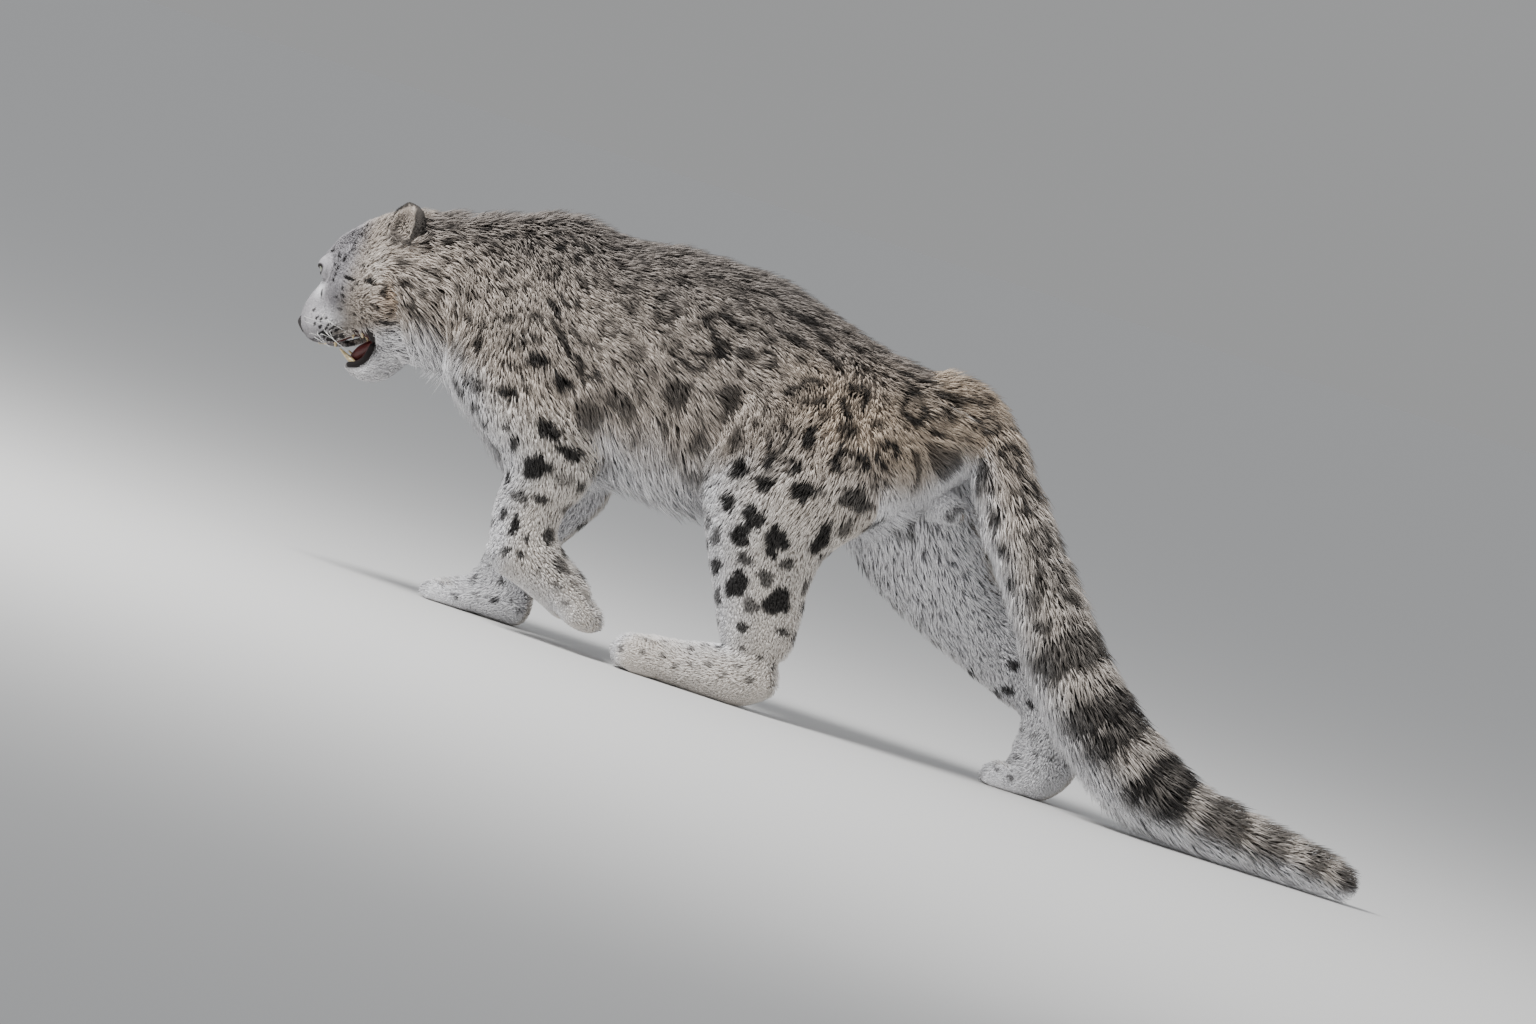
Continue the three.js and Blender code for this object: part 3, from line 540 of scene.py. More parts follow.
# %% [markdown]
# The forms are joined as fields of distances: at each point of a grid stands how far away a surface is,
# less than nothing inside it. Two fields join softly where the smaller of both is taken with a rounded
# corner, as flesh runs from a shoulder into a chest, and a cut is the same turned inside out. That is
# what a sculptor does by adding clay and smoothing it, and it leaves no seam.

# %% Fields
class Grid:
    """Points on a cubic grid, and the fields that stand on them."""

    def __init__(self, low, high, step):
        self.low = np.array(low, float)
        self.step = step
        self.shape = tuple(int(n) for n in np.ceil((np.array(high) - low) / step) + 1)

    def points(self):
        axes = [self.low[i] + self.step * np.arange(self.shape[i], dtype=np.float32) for i in range(3)]
        return np.meshgrid(*axes, indexing="ij")

    def distance(self, form, inside=6, outside=9):
        """The field of a closed surface, exact to so many cells inside and outside it."""
        points, faces = form
        local = ((points - self.low) / self.step).astype(np.float32)
        level = openvdb.FloatGrid.createLevelSetFromPolygons(
            local, triangles=faces.astype(np.uint32), exBandWidth=float(outside), inBandWidth=float(inside))
        field = np.empty(self.shape, np.float32)
        level.copyToArray(field)
        return field * self.step

    def sample(self, field, points):
        """The field at any points, between the grid's own."""
        place = np.clip((points - self.low) / self.step, 0, np.array(self.shape) - 1.001)
        cell = place.astype(int)
        part = (place - cell).astype(np.float32)
        value = 0
        for corner in np.ndindex(2, 2, 2):
            share = np.prod(np.where(corner, part, 1 - part), axis=-1)
            value = value + share * field[tuple((cell + corner).T)]
        return value

    def slope(self, field, points):
        """Which way the field grows."""
        away = self.step
        return unit(np.stack([
            self.sample(field, points + away * axis) - self.sample(field, points - away * axis)
            for axis in (X, Y, Z)], -1))

    def surface(self, field):
        """The points and four-sided faces of the surface where the field is nothing."""
        volume = openvdb.FloatGrid(float(field.max()))
        volume.copyFromArray(field)
        points, faces = volume.convertToQuads()
        return points * self.step + self.low, faces.astype(int)


# %% Joins and cuts
def join(a, b, soft):
    """Two fields run together, as softly as asked."""
    share = np.clip(0.5 + 0.5 * (b - a) / soft, 0, 1)
    return b * (1 - share) + a * share - soft * share * (1 - share)


def cut(a, b, soft):
    """The second field taken out of the first."""
    return -join(-a, b, soft)


def egg(grid, place, sizes, axes):
    """The field of an egg-shaped form."""
    away = [p - c for p, c in zip(grid.points(), place)]
    local = [sum(axis[i] * away[i] for i in range(3)) for axis in axes]
    far = np.sqrt(sum((v / size) ** 2 for v, size in zip(local, sizes)))
    steep = np.sqrt(sum((v / size ** 2) ** 2 for v, size in zip(local, sizes)))
    return (far * (far - 1) / np.maximum(steep, 1e-6)).astype(np.float32)


# %% [markdown]
# The head is a skull and a jaw, with the lids as a thin ball over each eye that an egg is cut out of for the
# slit, two eggs cut out for the mouth, a lip round each edge of it, and the ears as cups.

# %% Field of the head
LID = 2.4  # thickness of the lids over the eyeball
LID_SLIT = (15, 11.5, 6.4)  # half sizes of the egg that is cut out for the slit: forward, across and up
SLIT_LEAD = 17  # how far in front of the eyeball's middle that egg is


def gaze_axes(side):
    """Which way an eye looks, then its own across and up."""
    gaze = unit(0.86 * ALONG - 0.12 * UP + side * 0.5 * OUT)
    out = unit(np.cross(gaze, UP))
    return gaze, out, np.cross(out, gaze)


SIDES = {"left": 1, "right": -1}


def head_field(grid, bare, inside):
    """The head: skull, jaw, lids, mouth, lips and ears, with its lips as thick as the grid can show."""
    thick = max(LIP, 1.15 * grid.step)
    field = grid.distance(head_form(SKULL, bare, FACE), inside)
    for side in (1, -1):
        eye = on_head(EYE[0], EYE[1], side * EYE[2])[0]
        gaze, out, up = gaze_axes(side)
        field = join(field, egg(grid, eye, [EYE_RADIUS + LID] * 3, (gaze, out, up)), 5)
        field = cut(field, egg(grid, eye + SLIT_LEAD * gaze, LID_SLIT, (gaze, out, up)), 2.5)
    field = join(field, grid.distance(head_form(JAW, bare), inside), 8)
    for place, sizes in MOUTH:
        field = cut(field, egg(grid, on_head(*place)[0], sizes, (ALONG, OUT, UP)), 3)
    for lip in (UPPER_LIP, LOWER_LIP):
        field = join(field, grid.distance(lip_form(lip, thick), inside), 3)
    for side in (1, -1):
        leaf, hollow = ear_forms(side, bare)
        cup = cut(grid.distance(leaf, inside), grid.distance(hollow), 4)
        field = join(field, cup, 10)
    return field


# %% Field of the whole animal
def body_field(grid, bare, inside=6):
    """The whole animal, head and all."""
    field = join(grid.distance(trunk_form(bare), inside), head_field(grid, bare, inside), 24)
    for name in LEGS:
        leg = grid.distance(leg_form(name, bare), inside)
        for index, form in enumerate(foot_forms(name, bare)):
            leg = join(leg, grid.distance(form, inside), 6 if index else 30)
        field = join(field, leg, 34)
    field = join(field, grid.distance(tail_form(bare), inside), 30)
    ball = egg(grid, (352, 0, 376), [size - 8 * bare for size in (32, 24, 26)], (X, Y, Z))
    return np.maximum(join(field, ball, 20), -grid.points()[2])


# %% Skin in one piece
STEP = 4.5
FINE = 1.5
body_grid = Grid((-690, -165, -18), (1135, 165, 665), STEP)
face_grid = Grid((-700, -120, 280), (-470, 160, 590), FINE)
skin_field = body_field(body_grid, 1)
coat_field = body_field(body_grid, 0, inside=14)
face_field = join(face_grid.distance(trunk_form(1), 6), head_field(face_grid, 1, 6), 24)
points, faces = body_grid.surface(skin_field)
print("skin", len(points), "points", len(faces), "faces")
# %% [markdown]
# The face needs a finer mesh than the body, so its faces are split once, and those round the eyes, nose
# and mouth once more. The new points are then drawn onto the finer field, which has the lids and lips.

# %% Finer mesh on the head
def split_faces(mesh, reach):
    """Splits the mesh wherever reach says yes to its points."""
    work = bmesh.new()
    work.from_mesh(mesh)
    places = np.array([vertex.co for vertex in work.verts])
    chosen = reach(places)
    edges = [edge for edge in work.edges if chosen[edge.verts[0].index] and chosen[edge.verts[1].index]]
    bmesh.ops.subdivide_edges(work, edges=edges, cuts=1, use_grid_fill=True)
    work.to_mesh(mesh)
    work.free()


def mesh_of(name, points, faces):
    mesh = bpy.data.meshes.new(name)
    mesh.from_pydata(np.asarray(points).tolist(), [], np.asarray(faces).tolist())
    return mesh


def on_face(places):
    along, up, out = head_sizes(places)
    return (along > -40) & (along < 190) & (np.abs(out) < 115) & (np.abs(up) < 145)


def on_features(places):
    along, up, out = head_sizes(places)
    near_eye = (along > 66) & (up > 8) & (up < 62)
    near_mouth = (along > 36) & (up < -34)
    return on_face(places) & (near_eye | near_mouth | (along > 132))


skin_mesh = mesh_of("skin", points, faces)
split_faces(skin_mesh, on_face)
split_faces(skin_mesh, on_features)
work = bmesh.new()
work.from_mesh(skin_mesh)
bmesh.ops.triangulate(work, faces=work.faces[:])
bmesh.ops.recalc_face_normals(work, faces=work.faces[:])
work.to_mesh(skin_mesh)
work.free()
print("skin after splitting", len(skin_mesh.vertices), "points", len(skin_mesh.polygons), "triangles")


# %% Points of the skin
def read(collection, what, width, kind=np.float32):
    """One property of all points, edges or faces of a mesh, as rows of so many numbers."""
    values = np.empty(len(collection) * width, kind)
    collection.foreach_get(what, values)
    return values.reshape(-1, width)


skin_points = read(skin_mesh.vertices, "co", 3).astype(float)
skin_faces = read(skin_mesh.polygons, "vertices", 3, np.int32)
skin_edges = read(skin_mesh.edges, "vertices", 2, np.int32)


def mean_of_neighbours(values):
    """At each point of the skin, the mean of what stands at its neighbours."""
    total = np.zeros_like(values)
    count = np.zeros(len(values))
    for a, b in ((0, 1), (1, 0)):
        ends = skin_edges[:, a]
        count += np.bincount(ends, minlength=len(values))
        for k in range(values.shape[1]):
            total[:, k] += np.bincount(ends, weights=values[skin_edges[:, b], k], minlength=len(values))
    return total / np.maximum(count, 1)[:, None]


def normals_of(points):
    a, b, c = (points[skin_faces[:, k]] for k in range(3))
    facing = np.cross(b - a, c - a)
    total = np.zeros_like(points)
    for k in range(3):
        for axis in range(3):
            total[:, axis] += np.bincount(skin_faces[:, k], weights=facing[:, axis], minlength=len(points))
    return unit(total)


skin_normals = normals_of(skin_points)
inward = (skin_normals * body_grid.slope(skin_field, skin_points)).sum() < 0
if inward:
    skin_faces = skin_faces[:, ::-1]
print(len(skin_points), "points, turned round" if inward else "points")

# %% [markdown]
# A field's surface comes as steps of the grid, so every point is slid along the skin towards the middle of
# its neighbours, which evens the mesh, and then back onto the surface, which keeps the shape. On the head
# the finer field holds, and the two are blended where its grid ends.

# %% Points drawn onto the surface
EDGE = (4, 24)  # how far inside the finer grid the blend begins and ends
TURNS = 8
FARTHEST = 2  # the longest step back onto the surface
blends = []
for i in range(3):
    low = face_grid.low[i]
    high = low + FINE * face_grid.shape[i]
    rising = smoothstep(low + EDGE[0], low + EDGE[1], skin_points[:, i])
    blends.append(rising * smoothstep(high - EDGE[0], high - EDGE[1], skin_points[:, i]))
face_share = np.prod(blends, axis=0)
for turn in range(TURNS):
    normals = normals_of(skin_points)
    drift = mean_of_neighbours(skin_points) - skin_points
    drift -= normals * (drift * normals).sum(-1, keepdims=True)
    skin_points += 0.5 * drift
    for grid, field, share in ((body_grid, skin_field, 1 - face_share), (face_grid, face_field, face_share)):
        beyond = np.clip(grid.sample(field, skin_points), -FARTHEST, FARTHEST)
        skin_points -= (share * beyond)[:, None] * grid.slope(field, skin_points)
skin_points[:, 2] = np.maximum(skin_points[:, 2], 0)
skin_normals = normals_of(skin_points)
skin_coat = np.clip(-body_grid.sample(coat_field, skin_points), 0.5, 70)  # the coat's depth at each point
print("coat from", skin_coat.min().round(1), "to", skin_coat.max().round(1), "mm deep")

# %% [markdown]
# The hair of a cat lies from its nose to the tip of its tail and down every leg, and where it is long it
# falls with its weight as well. So each form has a stream along its own path, and at every point of the
# skin the nearest streams are mixed, turned down a little and laid flat along the skin.

# %% Lie of the hair
def stream(points, radius, fall):
    """The path of a form, its way, its thickness and how far hair falls there."""
    middle = refine(points, 6)
    rows = np.linspace(0, len(middle) - 1, len(radius))
    thick = np.interp(np.arange(len(middle)), rows, radius)
    return middle, unit(np.gradient(middle, axis=0)), thick, fall


TRUNK_TABLE = np.array(TRUNK, float)
SKULL_TABLE = np.array(SKULL, float)[::-1]
TAIL_TABLE = np.array(TAIL, float)
trunk_middle = np.stack([TRUNK_TABLE[:, 0], 0 * TRUNK_TABLE[:, 0], TRUNK_TABLE[:, 1:3].mean(1)], -1)
skull_middle = on_head(SKULL_TABLE[:, 0], SKULL_TABLE[:, 1:3].mean(1), 0 * SKULL_TABLE[:, 0])
STREAMS = {
    "trunk": stream(trunk_middle, TRUNK_TABLE[:, 3], 0.55),
    "head": stream(skull_middle, SKULL_TABLE[:, 3], 0.12),
    "tail": stream(TAIL_TABLE[:, :3], TAIL_TABLE[:, 4], 0.1),
}
for name, rows in LEGS.items():
    table = np.array(rows, float)
    STREAMS[name] = stream(table[:, :3], table[:, 4], 0.3)
    foot = np.array(FEET[name][0], float)
    toes = np.array(toe_rows(name), float).mean(0)
    STREAMS[name + "_foot"] = stream(np.vstack([foot[:, :3], toes[:, :3]]), [40, 40], 0.1)
for side_name, side in SIDES.items():
    stem = ear_axes(side)[0]
    base = on_head(EAR[0], EAR[1], side * EAR[2])[0]
    STREAMS["ear_" + side_name] = stream(base + np.outer((-10, 20, 40, 62), stem), [26, 24], 0)
FORMS = list(STREAMS)
print(len(FORMS), "streams")


# %% Nearest streams
BLEND = 14  # over how far two streams run into each other


def nearest_streams(points):
    """For each point: its nearest form, how far along its path it lies, and the mixed stream there."""
    best = np.full(len(points), 1e9)
    form = np.zeros(len(points), int)
    place = np.zeros(len(points))
    along, up, out = head_sizes(points)
    distances, ways = [], []
    for index, name in enumerate(FORMS):
        middle, way, radius, fall = STREAMS[name]
        far = np.linalg.norm(points[:, None] - middle[None], axis=-1) - radius
        near = far.argmin(1)
        distance = far[np.arange(len(points)), near]
        if name == "trunk":  # the neck ends where the face begins
            distance = distance + 3 * np.clip(along + 12, 0, 99) * smoothstep(-150, -115, up)
        closer = distance < best
        best[closer] = distance[closer]
        form[closer] = index
        place[closer] = (near / (len(middle) - 1))[closer]
        distances.append(distance)
        ways.append(way[near] + np.array([0, 0, -fall]))
    share = np.exp(-(np.array(distances) - best) / BLEND)
    mixed = (share[..., None] * np.array(ways)).sum(0)
    return form, place, unit(mixed)


def trunk_height(points):
    """How high up the trunk each point is: nothing at the belly, one at the back."""
    belly = np.interp(points[:, 0], TRUNK_TABLE[:, 0], TRUNK_TABLE[:, 2])
    back = np.interp(points[:, 0], TRUNK_TABLE[:, 0], TRUNK_TABLE[:, 1])
    return (points[:, 2] - belly) / (back - belly)


def along_skin(ways, normals):
    """Ways laid flat along the skin."""
    return unit(ways - normals * (ways * normals).sum(-1, keepdims=True))


# %% Lie of the hair over the skin
chunks = [nearest_streams(part) for part in np.array_split(skin_points, 40)]
skin_form = np.concatenate([chunk[0] for chunk in chunks])
skin_place = np.concatenate([chunk[1] for chunk in chunks])
skin_lie = np.concatenate([chunk[2] for chunk in chunks])
# the long hair low on the trunk hangs down
low_share = smoothstep(0.6, 0.15, trunk_height(skin_points)) * (skin_form == FORMS.index("trunk"))
skin_lie = skin_lie - Z * low_share[:, None]
for turn in range(12):
    skin_lie = along_skin(unit(mean_of_neighbours(skin_lie)), skin_normals)
print({name: int((skin_form == index).sum()) for index, name in enumerate(FORMS)})
# %% [markdown]
# The markings are painted by rules, and skin and coat ask the same rules for their colour, so the two
# always agree. First comes the ground colour: smoky on the back, warmer on the flanks and haunch, white
# below and inside the legs. Then come the marks: rosettes on the body, solid spots on the head and legs,
# streaks along the spine and broad bands on the tail. Those that face the camera are listed one by one,
# and the rest are scattered as they are on the species.

# %% Paints
def paint(code):
    """A colour written as red, green and blue from 0 to 255, as the shaders count it."""
    share = np.array(code, float) / 255
    return np.where(share <= 0.04045, share / 12.92, ((share + 0.055) / 1.055) ** 2.4)


SMOKE = paint((132, 125, 120))
FLANK = paint((188, 177, 166))
HAUNCH = paint((190, 173, 154))
WHITE = paint((244, 243, 245))
CREAM = paint((226, 219, 211))
BLACK = paint((20, 18, 18))
CHARCOAL = paint((44, 39, 37))
CHEEK = paint((172, 146, 120))
GREY = paint((166, 163, 166))
print("ground colours from", SMOKE.round(2), "to", WHITE.round(2))

# %% Unevenness
rng = np.random.default_rng(11)
WAVES = rng.normal(size=(3, 5, 3))
PHASES = rng.uniform(0, 2 * np.pi, (3, 5))


def ripple(points, size, which=0):
    """A soft, seeded unevenness between -1 and 1, with waves about as long as size."""
    turn = points @ (WAVES[which] * (2 * np.pi / size / 1.7)).T + PHASES[which]
    return np.sin(turn).mean(-1) * 1.6


def mix(a, b, share):
    """One colour turned into another, by a share of its own at each place."""
    return a + (b - a) * np.clip(share, 0, 1)[:, None]


def form_is(form, *names):
    """Which places belong to forms whose names start so."""
    return np.isin(form, [index for index, name in enumerate(FORMS) if name.startswith(names)])


def face_view(along, up, out):
    """Where places of the head stand in the picture, with the far half seen as if it were the near one."""
    return -532 - 0.829 * along - 0.414 * up - 0.375 * np.abs(out), 440 - 0.446 * along + 0.895 * up


def soft_spot(a, b, middle, sizes):
    """A spot with soft edges in two directions: one in its middle, nothing far away."""
    return np.exp(-((a - middle[0]) / sizes[0]) ** 2 - ((b - middle[1]) / sizes[1]) ** 2)


# %% Ground colour of the body
def body_ground(points, normals, form, place):
    """The colour between the marks on trunk, legs and tail."""
    x, y, z = points.T
    height = trunk_height(points) + 0.05 * ripple(points, 90)
    colour = mix(np.broadcast_to(WHITE, points.shape), FLANK, smoothstep(0.02, 0.3, height))
    colour = mix(colour, HAUNCH, smoothstep(20, 180, x) * smoothstep(0.2, 0.5, height))
    colour = mix(colour, SMOKE, 0.85 * smoothstep(0.62, 0.97, height))
    legs = form_is(form, "near_", "far_")
    shade = mix(np.broadcast_to(CREAM, points.shape), WHITE, smoothstep(-0.2, 0.7, -normals[:, 0]))
    shade = mix(shade, HAUNCH, 0.75 * smoothstep(250, 400, z) * smoothstep(-0.6, 0.3, normals[:, 0] + 0.3))
    inner = np.where(y < 0, normals[:, 1], -normals[:, 1])
    shade = mix(shade, WHITE, smoothstep(0.0, 0.6, inner))
    colour = np.where(legs[:, None], mix(colour, shade, smoothstep(430, 300, z)), colour)
    tail = form_is(form, "tail")
    upper = mix(np.broadcast_to(CREAM, points.shape), FLANK, np.full(len(points), 0.6))
    upper = mix(upper, HAUNCH, smoothstep(0.3, 0.05, place))
    hair = mix(np.broadcast_to(WHITE, points.shape), upper, smoothstep(-0.7, 0.2, normals[:, 2]))
    return np.where(tail[:, None], hair, colour)


# %% Ground colour of the face
# the tan cheek, the pale temple, the white pad of the whiskers: middle and size, paint and strength
FACE_GROUND = [
    ((-528, 430), (27, 44), CHEEK, 0.8),
    ((-575, 455), (26, 34), CREAM, 0.6),
]
PAD = ((-615, 358), (22, 16))
LID_LIGHT = ((122, 10), (12, 14))  # the pale patch under the eye, along and up the head


def face_ground(points):
    """The colour between the marks on the head and ears."""
    along, up, out = head_sizes(points)
    across, rise = face_view(along, up, out)
    face = mix(np.broadcast_to(FLANK, points.shape), GREY, smoothstep(-590, -625, across))
    for middle, sizes, colour, strength in FACE_GROUND:
        face = mix(face, colour, strength * soft_spot(across, rise, middle, sizes))
    face = mix(face, WHITE, 0.9 * smoothstep(-60, -95, up))
    face = mix(face, WHITE, 0.6 * soft_spot(across, rise, *PAD))
    return mix(face, WHITE, 0.8 * soft_spot(along, up, *LID_LIGHT))


def ground_colour(points, normals, form, place):
    """The colour between the marks, a little uneven."""
    head = form_is(form, "head", "ear")
    colour = np.where(head[:, None], face_ground(points), body_ground(points, normals, form, place))
    return colour * (1 + 0.06 * ripple(points, 60, 1))[:, None]


# %% [markdown]
# On the head every mark is a small solid spot, and the far half of the head has the same spots mirrored,
# each a little out of place, as no animal is the same on both sides. On the body some marks are rings.

# %% Marks of the head, listed one by one
# across the picture, up, width, height, darkness and tilt of solid spots
HEAD_MARKS = [
    (-627, 451, 6, 13, 1, -10), (-598, 450, 12, 6, 0.9, 20), (-634, 434, 8, 6, 1, 15),
    (-634, 424, 7, 5, 1, 0), (-634, 415, 8, 5, 1, -20), (-611, 427, 22, 6, 1, -8),
    (-598, 421, 9, 5, 0.9, 0), (-581, 434, 20, 12, 1, -10), (-553, 424, 13, 8, 1, 0),
    (-535, 418, 12, 7, 0.8, -20), (-548, 438, 9, 6, 0.8, -30), (-617, 407, 5, 7, 0.9, -10),
    (-602, 410, 6, 7, 0.9, -20), (-612, 396, 6, 8, 0.9, -15), (-608, 387, 5, 4, 0.9, 0),
    (-621, 391, 5, 4, 0.9, 0), (-646, 390, 5, 13, 0.9, 15), (-590, 403, 6, 5, 0.8, -20),
    (-555, 398, 15, 7, 0.95, -8), (-573, 399, 9, 4, 0.6, 0), (-533, 378, 24, 7, 0.95, 8),
    (-588, 373, 7, 9, 0.9, 20), (-611, 375, 6, 5, 0.8, 0), (-648, 363, 5, 7, 0.9, 0),
    (-613, 498, 5, 11, 1, -15), (-621, 479, 7, 6, 1, 0), (-620, 469, 7, 6, 0.9, 0),
    (-628, 492, 4, 12, 1, -25), (-607, 491, 5, 9, 0.95, -15), (-604, 512, 5, 12, 0.9, -30),
    (-596, 521, 5, 14, 0.95, -35), (-612, 510, 4, 10, 0.9, -35), (-588, 530, 6, 12, 0.9, -40),
    (-590, 505, 6, 9, 0.6, -20), (-596, 480, 6, 8, 0.5, 0), (-576, 452, 9, 7, 0.4, 0),
    (-560, 478, 10, 8, 0.5, 0), (-520, 455, 12, 8, 0.6, 0), (-508, 430, 12, 10, 0.6, 0),
    (-525, 400, 12, 8, 0.7, 0), (-560, 380, 8, 6, 0.5, 0), (-650, 457, 14, 5, 1, -10),
    (-637, 452, 5, 14, 0.95, 10), (-640, 437, 5, 6, 0.9, 0), (-640, 352, 4, 7, 1, -10),
    (-633, 353, 4, 8, 1, -20), (-626, 356, 3, 6, 0.9, -10), (-618, 350, 4, 10, 0.9, -30),
    (-611, 346, 4, 14, 0.95, -35), (-604, 344, 4, 14, 0.95, -35), (-622, 341, 4, 12, 0.95, -30),
    (-630, 341, 4, 8, 0.95, -25), (-614, 334, 5, 12, 1, -30), (-605, 332, 6, 12, 1, -40),
    (-628, 331, 4, 8, 0.9, -20), (-620, 329, 5, 8, 0.95, -30), (-596, 338, 7, 9, 1, -40),
    (-610, 327, 12, 5, 1, 0), (-641, 343, 4, 6, 0.9, -10),
]
print(len(HEAD_MARKS), "marks on the near half of the head")
